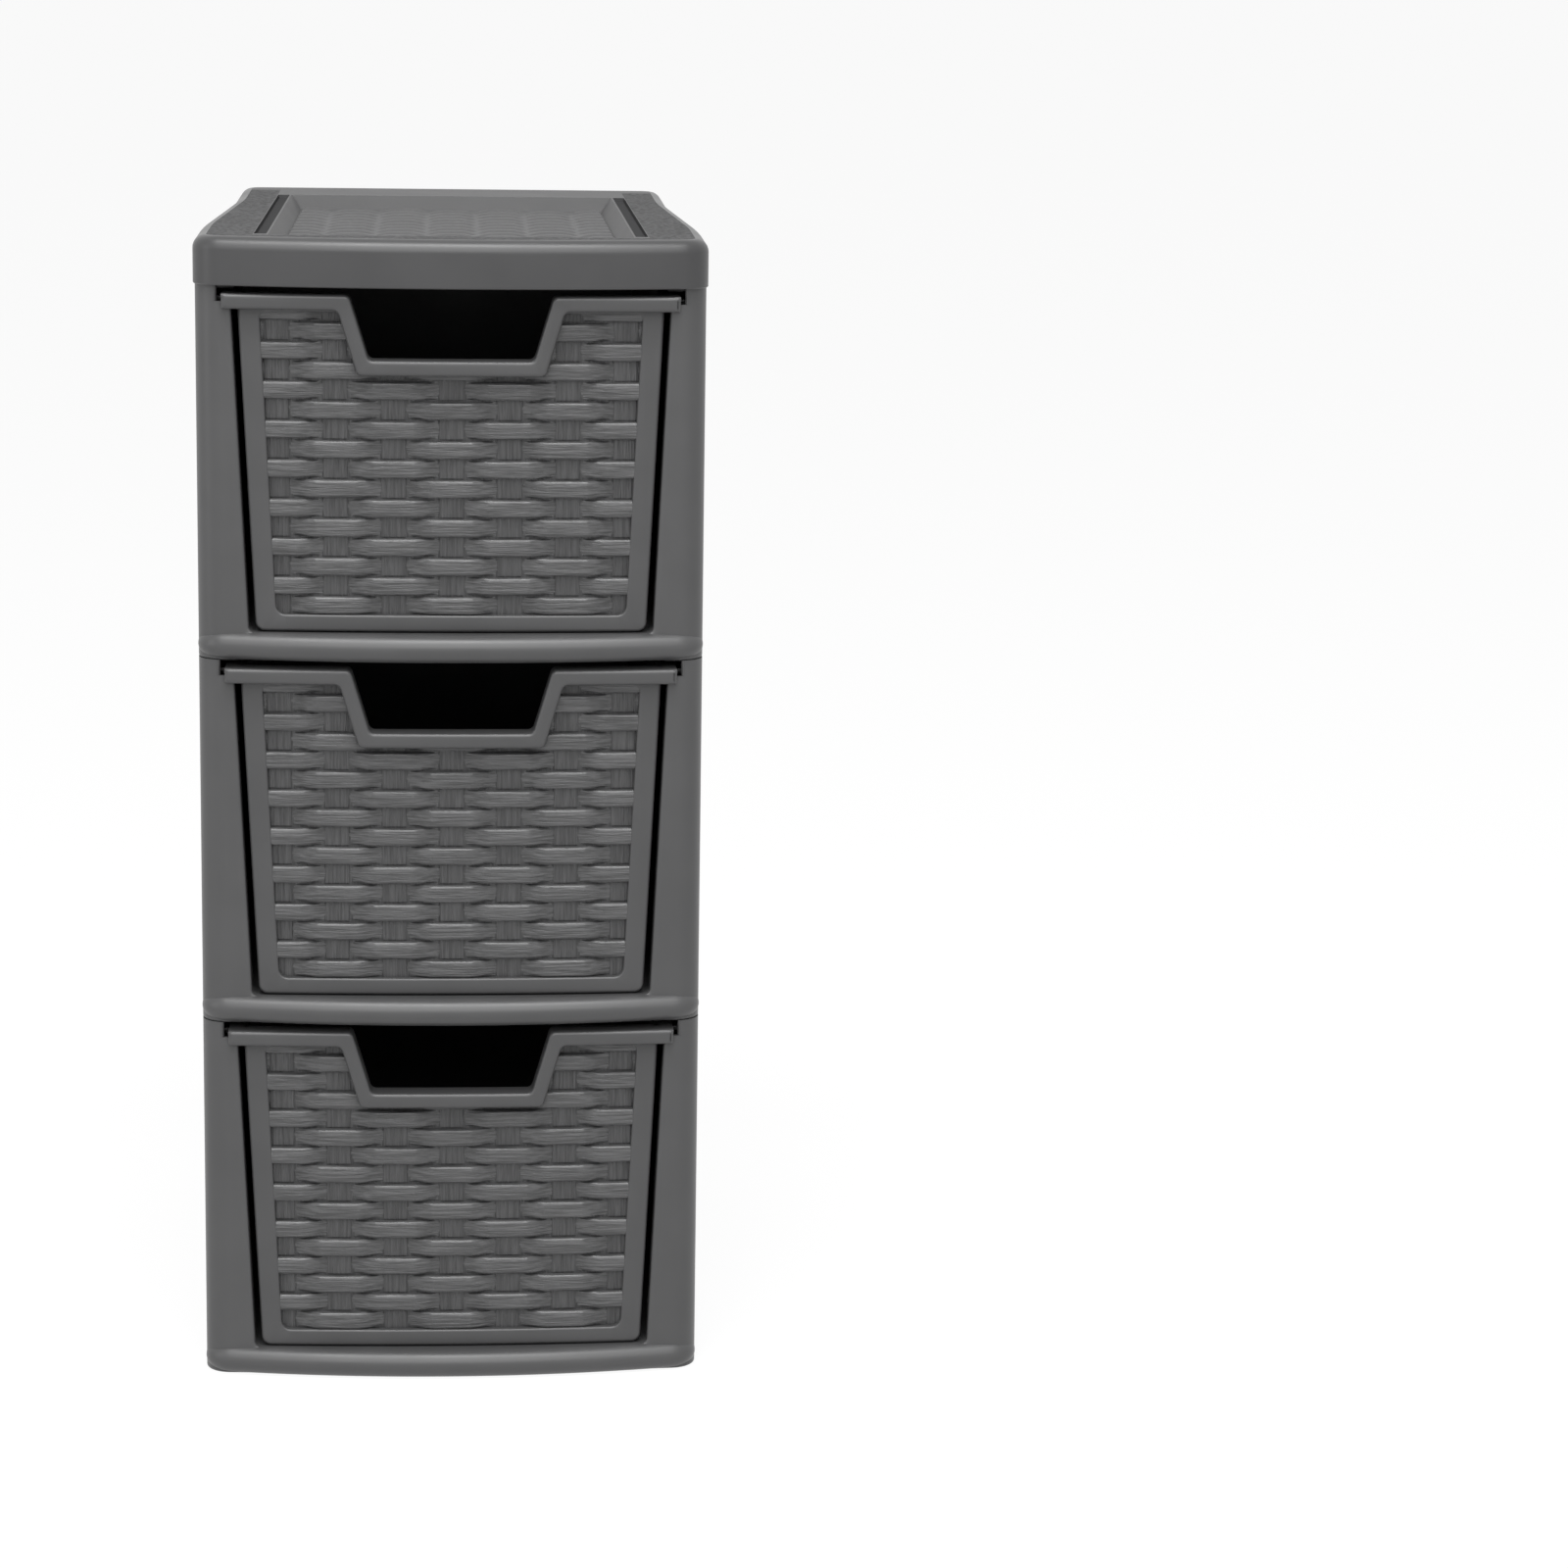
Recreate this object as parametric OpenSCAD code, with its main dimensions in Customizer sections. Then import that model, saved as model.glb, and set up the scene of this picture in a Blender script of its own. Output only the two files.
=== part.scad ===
// Plastic drawer tower: three stacked housings, three sliding drawers with
// basket-weave fronts, and a tray-topped cover.
// Millimetres, +Z up, the drawers open towards -Y.
// The origin is at the centre of the footprint, on the floor.

/* [Tower] */
// Width across the side walls at the front
case_w = 265; // [255:1:285]
// Width across the side walls at the back
case_back_w = 246.5; // [244.5:0.5:252]
// Depth from the front lip to the back wall
case_d = 375; // [320:1:430]
// Distance from the front to where the side walls start to close in
shoulder_depth = 95; // [80:5:120]
// Distance from the front to where they run straight again
neck_depth = 270; // [230:5:290]
// Height of one housing, floor to floor
tier_pitch = 195; // [180:1:215]
// Thickness of the housing walls
wall = 2.5; // [2:0.1:3.2]
// How far the front of the lips and cover bulges out at the middle
front_bow = 13; // [10:0.5:15]
// Corner radius in plan at the front
front_corner_r = 16; // [14:0.5:19]
// Corner radius in plan at the back
back_corner_r = 12; // [11:0.5:16]

/* [Housing] */
// Height of the base slab, whose front is the rounded lip
base_h = 14.6; // [12:0.2:18]
// Thickness of the housing floor
floor_t = 2.6; // [2:0.1:4]
// Setback of the front stiles behind the lip
stile_setback = 10.5; // [8:0.5:13]
// Bulge of the stile face
stile_bow = 5; // [3:0.5:7]
// Corner radius in plan of the stiles
stile_corner_r = 14; // [10:0.5:16]
// Width of a stile at its top
stile_top_w = 19.2; // [18.5:0.1:22]
// Width of a stile at its foot
stile_foot_w = 27.3; // [25:0.1:31]
// Depth of the return flange round the opening
return_depth = 15; // [8:0.5:22]
// Step between the base slab and the walls above it
wall_step = 0.5; // [0.2:0.1:1]
// Thickness of the return flange
return_t = 2.2; // [1.6:0.1:3]
// Thickness of the runner ledge under the drawer flange
ledge_t = 2.5; // [2:0.1:4]
// Thickness of the shelf that carries the next housing
shelf_t = 3; // [2:0.1:3.4]
// Width of the shelf, inwards from the side wall
shelf_w = 20.5; // [19:0.5:24]
// Height of the stacking rails on the shelves
rail_h = 4.5; // [2:0.25:5]
// Thickness of the ribs under the floor
rib_t = 2; // [1.5:0.1:3]
// Height of the ribs under the floor
rib_h = 2.5; // [1.5:0.1:2.5]
// Spacing of the ribs under the floor
rib_pitch = 60; // [45:1:90]

/* [Drawer] */
// Gap between a drawer and the stile beside it
side_gap = 3.5; // [2.5:0.1:5]
// Gap between a drawer and the floor below it
floor_gap = 0.6; // [0.4:0.1:1.5]
// Wall thickness of a drawer
drawer_wall = 2.2; // [1.8:0.1:3]
// Clear space between a drawer and the back wall
back_gap = 13; // [8:0.5:30]
// Corner radius at a drawer's lower edges
drawer_corner_r = 5; // [3:0.5:8]
// Height of the rim band
rim_h = 8; // [6:0.25:10]
// Distance from the rim top up to the next housing
rim_top_gap = 4; // [3.6:0.1:6]
// Distance from the case side to the rim's end
rim_side_gap = 14.5; // [13.5:0.1:16]
// Gap between a rim's end and the side of its slot
slot_gap = 2.3; // [1.5:0.1:3]
// Setback of the rim behind the lip at the middle
rim_setback = 6; // [4.5:0.25:6.5]
// Bulge of the rim and drawer face
rim_bow = 5; // [4:0.25:6]
// How far the rim stands in front of the drawer face
rim_proud = 7; // [5:0.25:9]
// Thickness of the rim plate beyond the drawer sides
rim_plate = 3; // [2:0.1:3.4]
// Thickness of the side flanges that ride on the ledges
flange_t = 2.5; // [2:0.1:4]

/* [Finger cut-out] */
// Depth of the cut-out below the rim top
cut_depth = 33.5; // [25:0.5:45]
// Width of the cut-out at the rim top
cut_top_w = 105; // [90:1:125]
// Width of the cut-out at its bottom
cut_bottom_w = 85; // [60:1:88]
// Corner radius of the cut-out
cut_r = 3.5; // [2:0.25:6]

/* [Weave] */
// Spacing of the upright stakes
stake_pitch = 30.1; // [24:0.1:36]
// Width of a stake where it shows
stake_w = 12.4; // [8:0.1:16]
// Spacing of the woven rows
row_pitch = 10.22; // [8:0.01:14]
// Shadow gap between two rows
row_gap = 0.9; // [0.5:0.1:2]
// Depth of the woven panel below the drawer face
panel_recess = 4.5; // [4.4:0.1:5.5]
// How far the stakes stand out of the panel
stake_relief = 0.8; // [0.5:0.1:1.5]
// How far a row bulges out of the panel
row_relief = 4.1; // [3:0.1:4.3]
// Width of the plain border beside the panel
border_side = 11.2; // [8:0.1:15]
// Height of the plain border below the panel
border_foot = 8.8; // [6:0.1:14]
// Gap between the rim and the top of the panel
border_top = 1.5; // [1:0.1:4]

/* [Cover] */
// Height of the cover
cover_h = 25; // [20:0.5:32]
// How far the cover stands outside the housing walls
cover_overhang = 0.4; // [0:0.1:1]
// Radius of the cover's top edge
cover_edge_r = 7; // [5:0.5:8]
// Wall thickness of the cover
cover_wall = 2.5; // [2:0.1:3.5]
// Depth of the tray in the cover
tray_depth = 8; // [5:0.5:12]
// Distance from the front of the cover to the tray
tray_front = 27; // [24:1:40]
// Distance from the back of the cover to the tray
tray_back = 66; // [40:1:90]
// Width of the tray at its top
tray_w = 189; // [170:1:189]
// How far the tray walls lean in
tray_lean = 6; // [2:0.5:9]
// Width of the grooves beside the tray
groove_w = 6.5; // [4:0.25:8]
// Depth of the grooves beside the tray
groove_depth = 2; // [1:0.25:2.5]
// Width of the ridge between a groove and the tray
ridge_w = 1; // [0.8:0.1:2]
// Width of a woven cell in the tray floor
cell_w = 27.3; // [20:0.1:35]
// How far the woven cells stand out of the tray floor
cell_relief = 1.2; // [0.6:0.1:2]

/* [Fits] */
// Running gap between parts that slide or nest
fit_gap = 0.3; // [0.2:0.05:0.5]
// Distance from the front lip to the drawer stop
stop_setback = 52; // [35:1:80]
// Size of the drawer stop and of the hook that meets it
stop_size = 8; // [5:0.5:10]

/* [Hidden] */
$fn = 180;
eps = 0.01;
arc_steps = 6;
plastic = [0.36, 0.36, 0.37];
dark_plastic = [0.30, 0.30, 0.31];

front_y = -case_d / 2;
back_y = case_d / 2;
half_w = case_w / 2;
half_back_w = case_back_w / 2;
tier_top = tier_pitch;

// Side walls in plan: straight to the shoulder, in to the neck, straight to the back
shoulder = [half_w, front_y + shoulder_depth];
neck = [half_back_w, front_y + neck_depth];
neck_a = atan((shoulder[0] - neck[0]) / (neck[1] - shoulder[1]));
back_c = [half_back_w - back_corner_r, back_y - back_corner_r];

// Front lip, and how far the plan that rounds its ends stands outside the case
lip_r = base_h / 2;
corner_lead = 0.4;
nose_lead = 8;

// Opening between the stiles
open_top_half = half_w - stile_top_w;
open_foot_half = half_w - stile_foot_w;
rim_top_z = tier_top - rim_top_gap;
rim_foot_z = rim_top_z - rim_h;
rim_half = half_w - rim_side_gap;
slot_half = rim_half + slot_gap;
slot_z = rim_top_z - rim_h / 2 - fit_gap;

// Runner ledge and stacking shelf
flange_z = rim_top_z - flange_t;
ledge_top_z = flange_z - fit_gap;
ledge_half = open_top_half + fit_gap;

// Drawer
drawer_foot_z = base_h + floor_gap;
drawer_top_half = open_top_half - side_gap;
drawer_foot_half = open_foot_half - side_gap;
drawer_back_y = back_y - wall - back_gap;
drawer_arc_r = arc_radius(rim_half, rim_bow);
drawer_arc_y = front_y + rim_setback + drawer_arc_r;
face_t = rim_proud + panel_recess + drawer_wall;
lean = (drawer_top_half - drawer_foot_half) / (rim_foot_z - drawer_foot_z);
panel_foot_z = drawer_foot_z + border_foot;
panel_top_z = rim_foot_z - border_top;
weave_root = 0.5;

// Finger cut-out
cut_z = rim_top_z - cut_depth;
cut_slope = (cut_top_w - cut_bottom_w) / 2 / cut_depth;
band_side = rim_h * sqrt(1 + cut_slope * cut_slope);

// Drawer stop
stop_back_y = front_y + stop_setback + stop_size;
hook_front_y = drawer_back_y - stop_size;

// Cover
cover_z = 3 * tier_pitch;
cover_top_z = cover_z + cover_h;
tray_z = cover_top_z - tray_depth;
tray_front_y = front_y + tray_front;
tray_back_y = back_y - tray_back;
tray_half = tray_w / 2;

// Radius of an arc that rises by bow over half a chord
function arc_radius(half_chord, bow) = (half_chord * half_chord + bow * bow) / (2 * bow);

function unit(v) = v / norm(v);
function turn(a) = a > 180 ? a - 360 : (a < -180 ? a + 360 : a);
function polar(r, a) = r * [cos(a), sin(a)];

// Points of an arc from one angle to another, with or without the first one
function arc_points(centre, r, from, to, steps) =
    [for (k = [0:steps]) centre + polar(r, from + (to - from) * k / steps)];
function arc_rest(centre, r, from, to) =
    [for (k = [1:arc_steps]) centre + polar(r, from + (to - from) * k / arc_steps)];

// Points of the arc that rounds the corner p between a and b
function corner_arc(a, p, b, r) =
    let (u = unit(a - p), v = unit(b - p), half = acos(u * v) / 2)
    let (centre = p + unit(u + v) * r / sin(half))
    let (from = p + u * r / tan(half) - centre, to = p + v * r / tan(half) - centre)
    let (start = atan2(from[1], from[0]), sweep = turn(atan2(to[1], to[0]) - start))
    r == 0 ? [p] : [for (k = [0:arc_steps]) centre + polar(r, start + sweep * k / arc_steps)];

// Outline through the points, each corner rounded by its own radius
function rounded(points, radii) =
    let (n = len(points))
    [for (i = [0:n - 1])
        each corner_arc(points[(i + n - 1) % n], points[i], points[(i + 1) % n], radii[i])];

// Trapezoid standing on z0, symmetric about X = 0
function trapezoid(foot_half, top_half, z0, z1) =
    [[-foot_half, z0], [foot_half, z0], [top_half, z1], [-top_half, z1]];

// Front of the case outline in plan: a bowed arc and the rounded corner that
// touches it and the side. Every inset of it keeps the same centres.
function plan(setback, bow, corner_r) =
    let (arc_r = arc_radius(half_w - corner_r / 2, bow), corner_x = half_w - corner_r)
    let (arc_c = [0, front_y + setback + arc_r])
    let (rise = sqrt(pow(arc_r - corner_r, 2) - pow(corner_x, 2)))
    [arc_r, arc_c, [corner_x, arc_c[1] - rise], corner_r, atan2(-rise, corner_x)];

function arc_r(p) = p[0];
function arc_c(p) = p[1];
function front_c(p) = p[2];
function corner_r(p) = p[3];
function front_a(p) = p[4];

base_plan = plan(0, front_bow, front_corner_r);
stile_plan = plan(stile_setback, stile_bow, stile_corner_r);

module both_sides() {
    children();
    mirror([1, 0, 0]) children();
}

// Extrudes an outline drawn in X and Z along Y, from y0 to y1
module along_y(y0, y1) {
    translate([0, y1, 0])
        rotate([90, 0, 0])
            linear_extrude(y1 - y0) children();
}

// Plan outline moved in by inset: the right half from the middle of the front
// to the back, then the same points mirrored
module plan_shape(p, inset = 0) {
    right = concat(arc_points(arc_c(p), arc_r(p) - inset, -90, front_a(p), 2 * arc_steps),
                   arc_rest(front_c(p), corner_r(p) - inset, front_a(p), 0),
                   [for (bend = [shoulder, neck]) bend - polar(inset / cos(neck_a / 2), neck_a / 2)],
                   arc_points(back_c, back_corner_r - inset, 0, 90, arc_steps));
    left = [for (i = [len(right) - 1:-1:1]) [-right[i][0], right[i][1]]];
    polygon(concat(right, left));
}

// Plan that rounds the corners of the lips and the cover. It stands a little
// outside the side walls and in front of the bowed front.
module corner_plan() {
    lead = [2 * corner_lead, 0];
    right = [[half_w, front_y + front_bow] + lead, shoulder + lead, neck + lead,
             [half_back_w, back_y + 2 * corner_lead] + lead];
    left = [for (i = [3:-1:0]) [-right[i][0], right[i][1]]];
    polygon(rounded(concat([[0, front_y - nose_lead]], right, left),
                    [0, front_corner_r, 0, 0, back_corner_r, back_corner_r, 0, 0, front_corner_r]));
}

// Half-round section of the front lip, deep enough to run into the front wall
module lip_profile() {
    depth = stile_setback + wall_step + wall;
    polygon(concat(arc_points([-lip_r, lip_r], lip_r, -90, 90, 2 * arc_steps),
                   [[-depth, base_h], [-depth, 0]]));
}

// Rounded lip along the front of the base, with rounded ends
module front_lip() {
    lip_a = asin(half_w / arc_r(base_plan));
    intersection() {
        translate(arc_c(base_plan))
            rotate([0, 0, -90 - lip_a])
                rotate_extrude(angle = 2 * lip_a, $fn = 360)
                    translate([arc_r(base_plan), 0]) lip_profile();
        translate([0, 0, -base_h])
            linear_extrude(3 * base_h) corner_plan();
        translate([-half_w, front_y - base_h, -base_h])
            cube([case_w, 4 * base_h, 3 * base_h]);
    }
}

// Ribs in both directions under the floor
module floor_ribs() {
    across = floor(half_w / rib_pitch);
    along = floor(back_y / rib_pitch);
    foot_z = base_h - floor_t - rib_h;
    for (i = [-across:across])
        translate([i * rib_pitch - rib_t / 2, front_y, foot_z])
            cube([rib_t, case_d, base_h]);
    for (j = [-along:along])
        translate([-half_w, j * rib_pitch - rib_t / 2, foot_z])
            cube([case_w, rib_t, base_h]);
}

// Opening between the stiles, widened by grow
module opening_outline(grow = 0) {
    polygon(trapezoid(open_foot_half + grow, open_top_half + grow, base_h, slot_z));
}

// Walls, floor, stiles and the return flanges round the opening
module case_shell() {
    difference() {
        linear_extrude(tier_top) plan_shape(stile_plan, wall_step);
        translate([0, 0, base_h])
            linear_extrude(tier_top) plan_shape(stile_plan, wall_step + wall);
        difference() {
            translate([0, 0, -eps])
                linear_extrude(base_h - floor_t + eps) plan_shape(stile_plan, wall_step + wall);
            floor_ribs();
        }
        along_y(front_y, front_y + stile_setback + stile_bow + stile_corner_r) {
            opening_outline();
            translate([-slot_half, slot_z]) square([2 * slot_half, tier_top]);
        }
    }
    intersection() {
        translate([0, 0, base_h - floor_t / 2])
            linear_extrude(slot_z - base_h + floor_t / 2) plan_shape(stile_plan, wall_step + wall / 2);
        along_y(front_y, front_y + stile_setback + stile_bow + return_depth)
            difference() {
                opening_outline(return_t);
                opening_outline();
            }
    }
}

// Runner ledges, drawer stops and the shelves for the next housing
module case_rails() {
    rail_front_y = front_y + stile_setback + stile_bow;
    intersection() {
        linear_extrude(tier_pitch) plan_shape(stile_plan, wall_step + wall / 2);
        both_sides() {
            translate([ledge_half, rail_front_y, ledge_top_z - ledge_t])
                cube([half_w, case_d, ledge_t]);
            translate([half_w - shelf_w, rail_front_y, tier_top - shelf_t])
                cube([half_w, case_d, shelf_t]);
            translate([ledge_half - stop_size / 4, stop_back_y - stop_size, ledge_top_z - stop_size])
                cube([stop_size / 2, stop_size, stop_size]);
        }
    }
}

// Rails on the shelves that fit inside the piece stacked above
module stacking_rails() {
    inset = wall_step + wall + fit_gap;
    rail_front_y = front_y + stile_setback + stile_bow + stile_corner_r;
    intersection() {
        translate([0, 0, tier_top - shelf_t / 2])
            linear_extrude(shelf_t / 2 + rail_h)
                difference() {
                    plan_shape(stile_plan, inset);
                    plan_shape(stile_plan, inset + wall);
                }
        both_sides()
            translate([half_w - shelf_w, rail_front_y, 0])
                cube([shelf_w, back_y - shelf_w - rail_front_y, 2 * tier_top]);
    }
}

module housing(tier) {
    translate([0, 0, tier * tier_pitch]) {
        case_shell();
        front_lip();
        case_rails();
        stacking_rails();
    }
}

// Plan area from the arc of the drawer's rim, moved back by depth, to a back edge
module behind_arc(depth, back_edge_y) {
    intersection() {
        translate([0, drawer_arc_y]) circle(drawer_arc_r - depth, $fn = 360);
        translate([-half_w, front_y]) square([case_w, back_edge_y - front_y]);
    }
}

// Drawer sides seen from the front, moved in by inset
function drawer_outline(inset, z1) =
    let (foot_z = drawer_foot_z + inset)
    let (foot_half = drawer_foot_half - inset + lean * inset)
    let (top_half = foot_half + lean * (z1 - foot_z))
    let (r = drawer_corner_r - inset)
    rounded(trapezoid(foot_half, top_half, foot_z, z1), [r, r, 0, 0]);

// Woven panel seen from the front, widened by grow
function panel_outline(grow = 0) =
    let (foot_half = drawer_foot_half + lean * border_foot - border_side + grow)
    let (top_half = foot_half + lean * (panel_top_z - panel_foot_z))
    rounded(trapezoid(foot_half, top_half, panel_foot_z - grow, panel_top_z + grow),
            [drawer_corner_r, drawer_corner_r, cut_r, cut_r]);

// Half-width of the finger cut-out at height z
function cut_half(z) = cut_bottom_w / 2 + cut_slope * (z - cut_z);

// Finger cut-out seen from the front, widened by grow
function cut_outline(grow = 0) =
    let (over = tier_top, foot_z = cut_z - grow, side = grow * sqrt(1 + cut_slope * cut_slope))
    rounded(trapezoid(cut_half(foot_z) + side, cut_half(over) + side, foot_z, over), [cut_r, cut_r, 0, 0]);

// Rim band that runs along the top and dips round the finger cut-out
function rim_outline() =
    let (band_foot_z = cut_z - rim_h)
    let (outer = cut_half(rim_foot_z) + band_side, inner = cut_half(band_foot_z) + band_side)
    let (right = [[inner, band_foot_z], [outer, rim_foot_z], [rim_half, rim_foot_z],
                  [rim_half, rim_top_z], [cut_half(rim_top_z), rim_top_z], [cut_half(cut_z), cut_z]])
    let (left = [for (i = [5:-1:0]) [-right[i][0], right[i][1]]])
    let (r = [cut_r, cut_r, 1, 1, cut_r, cut_r])
    rounded(concat(right, left), concat(r, [for (i = [5:-1:0]) r[i]]));

// Upright stakes and the rows that bulge over every other stake
module weave() {
    panel_r = drawer_arc_r - rim_proud - panel_recess;
    bulge_half = stake_pitch - stake_w / 2;
    bulge_r = arc_radius(bulge_half, row_relief);
    panel_half = drawer_top_half - border_side;
    last_stake = floor(panel_half / stake_pitch);
    rows = ceil((panel_top_z - panel_foot_z) / row_pitch);
    intersection() {
        along_y(front_y, front_y + rim_setback + face_t + rim_bow)
            difference() {
                polygon(panel_outline(weave_root));
                polygon(cut_outline(rim_h / 2));
            }
        union() {
            for (i = [-last_stake:last_stake], k = [0:rows - 1]) {
                x = i * stake_pitch;
                y = drawer_arc_y - sqrt(panel_r * panel_r - x * x);
                z = panel_foot_z + k * row_pitch;
                if ((i + k) % 2 == 0)
                    translate([x, y - row_relief, z])
                        linear_extrude(row_pitch - row_gap)
                            intersection() {
                                translate([0, bulge_r]) circle(bulge_r, $fn = 360);
                                translate([-bulge_half, 0])
                                    square([2 * bulge_half, row_relief + drawer_wall / 2]);
                            }
            }
            for (i = [-last_stake:last_stake]) {
                x = i * stake_pitch;
                y = drawer_arc_y - sqrt(panel_r * panel_r - x * x);
                translate([x - stake_w / 2, y - stake_relief, panel_foot_z])
                    cube([stake_w, stake_relief + drawer_wall / 2, panel_top_z - panel_foot_z]);
            }
        }
    }
}

// Tray of the drawer, with a recessed panel in its front wall
module drawer_shell() {
    face_back = front_y + rim_setback + face_t + rim_bow;
    difference() {
        intersection() {
            along_y(front_y, drawer_back_y) polygon(drawer_outline(0, rim_top_z));
            linear_extrude(tier_top) behind_arc(rim_proud, drawer_back_y);
        }
        intersection() {
            along_y(front_y, drawer_back_y) polygon(drawer_outline(drawer_wall, tier_top));
            linear_extrude(2 * tier_top) behind_arc(face_t, drawer_back_y - drawer_wall);
        }
        difference() {
            along_y(front_y, face_back) polygon(panel_outline());
            linear_extrude(tier_top) behind_arc(rim_proud + panel_recess, back_y);
        }
        along_y(front_y, face_back) polygon(cut_outline());
    }
}

// Rim band, its end plates and the side flanges
module drawer_rim() {
    face_back = front_y + rim_setback + face_t + rim_bow;
    intersection() {
        along_y(front_y, face_back) polygon(rim_outline());
        difference() {
            linear_extrude(tier_top) behind_arc(0, face_back);
            linear_extrude(2 * tier_top) behind_arc(face_t, back_y);
            both_sides()
                translate([drawer_top_half - drawer_wall / 2, 0, 0])
                    linear_extrude(flange_z)
                        intersection() {
                            translate([drawer_wall / 2 - drawer_top_half, 0]) behind_arc(rim_plate, back_y);
                            translate([0, front_y]) square([half_w, case_d]);
                        }
        }
    }
    difference() {
        translate([0, 0, flange_z])
            linear_extrude(flange_t)
                intersection() {
                    behind_arc(rim_plate / 2, drawer_back_y);
                    translate([-rim_half, front_y]) square([2 * rim_half, case_d]);
                }
        translate([0, 0, flange_z - eps])
            linear_extrude(tier_top)
                intersection() {
                    behind_arc(face_t - drawer_wall, drawer_back_y - drawer_wall);
                    translate([-drawer_top_half + drawer_wall, front_y])
                        square([2 * (drawer_top_half - drawer_wall), case_d]);
                }
        along_y(front_y, face_back) polygon(cut_outline());
    }
}

// Hooks behind the runner that meet the housing's stops when the drawer is out
module drawer_hooks() {
    hook_half = ledge_half - fit_gap;
    both_sides()
        translate([drawer_top_half - drawer_wall, hook_front_y, flange_z - stop_size])
            cube([hook_half - drawer_top_half + drawer_wall, stop_size, stop_size + flange_t / 2]);
}

module drawer(tier) {
    translate([0, 0, tier * tier_pitch]) {
        drawer_shell();
        drawer_rim();
        drawer_hooks();
        weave();
    }
}

// Section of the cover from inner_x to its rounded top edge at outer_x
module cover_section(inner_x, outer_x) {
    edge_c = [outer_x - cover_edge_r, cover_h - cover_edge_r];
    polygon(concat([[inner_x, 0], [outer_x, 0]],
                   arc_points(edge_c, cover_edge_r, 0, 90, arc_steps),
                   [[inner_x, cover_h]]));
}

// Block whose rounded edge runs along a line of the side wall
module cover_edge(point, angle) {
    translate(point)
        rotate([0, 0, angle])
            along_y(-2 * case_d, 2 * case_d) cover_section(-2 * case_w, cover_overhang);
}

// Blocks that follow one side wall from the front to the back
module cover_side() {
    intersection() {
        cover_edge(shoulder, 0);
        union() {
            cover_edge(shoulder, neck_a);
            cover_edge(neck, 0);
        }
    }
}

// Outside of the cover: the front, side and back edges are rounded over
module cover_solid() {
    intersection() {
        translate([0, 0, -cover_h])
            linear_extrude(3 * cover_h) corner_plan();
        cover_side();
        mirror([1, 0, 0]) cover_side();
        translate([case_w, back_y, 0])
            rotate([0, 0, 90])
                along_y(0, 2 * case_w) cover_section(-2 * case_d, cover_overhang);
        translate(arc_c(base_plan))
            rotate_extrude($fn = 360)
                cover_section(0, arc_r(base_plan) + cover_overhang);
    }
}

// Hollow under the cover, stepped in below the rounded edge
module cover_hollow() {
    translate([0, 0, -cover_h])
        linear_extrude(2 * cover_h - cover_edge_r) plan_shape(base_plan, cover_wall - cover_overhang);
    translate([0, 0, -cover_h])
        linear_extrude(2 * cover_h - cover_wall) plan_shape(base_plan, cover_edge_r);
}

// Pan of the tray, which hangs from the top plate
module tray_pan() {
    pan_half = tray_half + ridge_w + groove_w + cover_wall;
    pan_front_y = tray_front_y - cover_wall;
    pan_depth = tray_back_y + cover_wall - pan_front_y;
    pan_foot_z = tray_z - cover_wall;
    translate([-pan_half, pan_front_y, pan_foot_z])
        cube([2 * pan_half, pan_depth, cover_top_z - cover_wall / 2 - pan_foot_z]);
}

// Woven cells of the tray floor
module tray_weave() {
    floor_half = tray_half - tray_lean;
    floor_front_y = tray_front_y + tray_lean;
    floor_back_y = tray_back_y - tray_lean;
    bulge_r = arc_radius(cell_w / 2, cell_relief);
    last_cell = floor(floor_half / cell_w);
    rows = floor((floor_back_y - floor_front_y) / row_pitch);
    for (i = [-last_cell:last_cell], k = [0:rows - 1])
        if ((i + k) % 2 == 0)
            translate([i * cell_w, floor_front_y + row_gap / 2 + k * row_pitch, tray_z])
                along_y(0, row_pitch - row_gap)
                    intersection() {
                        translate([0, cell_relief - bulge_r]) circle(bulge_r);
                        translate([-cell_w / 2, -cell_relief]) square([cell_w, 2 * cell_relief]);
                    }
}

// Tray opening with leaning walls
module tray_space() {
    wall_slope = tray_lean / tray_depth;
    rise = cover_edge_r;
    top_half = tray_half + wall_slope * rise;
    intersection() {
        along_y(tray_front_y - cover_h, tray_back_y + cover_h)
            polygon(trapezoid(tray_half - tray_lean, top_half, tray_z, cover_top_z + rise));
        translate([-half_w, 0, 0])
            rotate([90, 0, 90])
                linear_extrude(case_w)
                    polygon([[tray_front_y + tray_lean, tray_z], [tray_back_y - tray_lean, tray_z],
                             [tray_back_y + wall_slope * rise, cover_top_z + rise],
                             [tray_front_y - wall_slope * rise, cover_top_z + rise]]);
    }
}

// Smooth grooves at both sides of the tray
module side_grooves() {
    both_sides()
        translate([tray_half + ridge_w, tray_front_y + tray_lean, cover_top_z - groove_depth])
            cube([groove_w, tray_back_y - tray_front_y - tray_lean, cover_h]);
}

module top_cover() {
    color(plastic) {
        difference() {
            union() {
                translate([0, 0, cover_z])
                    difference() {
                        cover_solid();
                        cover_hollow();
                    }
                tray_pan();
            }
            tray_space();
            side_grooves();
        }
        tray_weave();
    }
}

module upper_housing() { color(plastic) housing(2); }
module middle_housing() { color(plastic) housing(1); }
module lower_housing() { color(plastic) housing(0); }
module upper_drawer() { color(dark_plastic) drawer(2); }
module middle_drawer() { color(dark_plastic) drawer(1); }
module lower_drawer() { color(dark_plastic) drawer(0); }

top_cover();
upper_housing();
middle_housing();
lower_housing();
upper_drawer();
middle_drawer();
lower_drawer();
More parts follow.
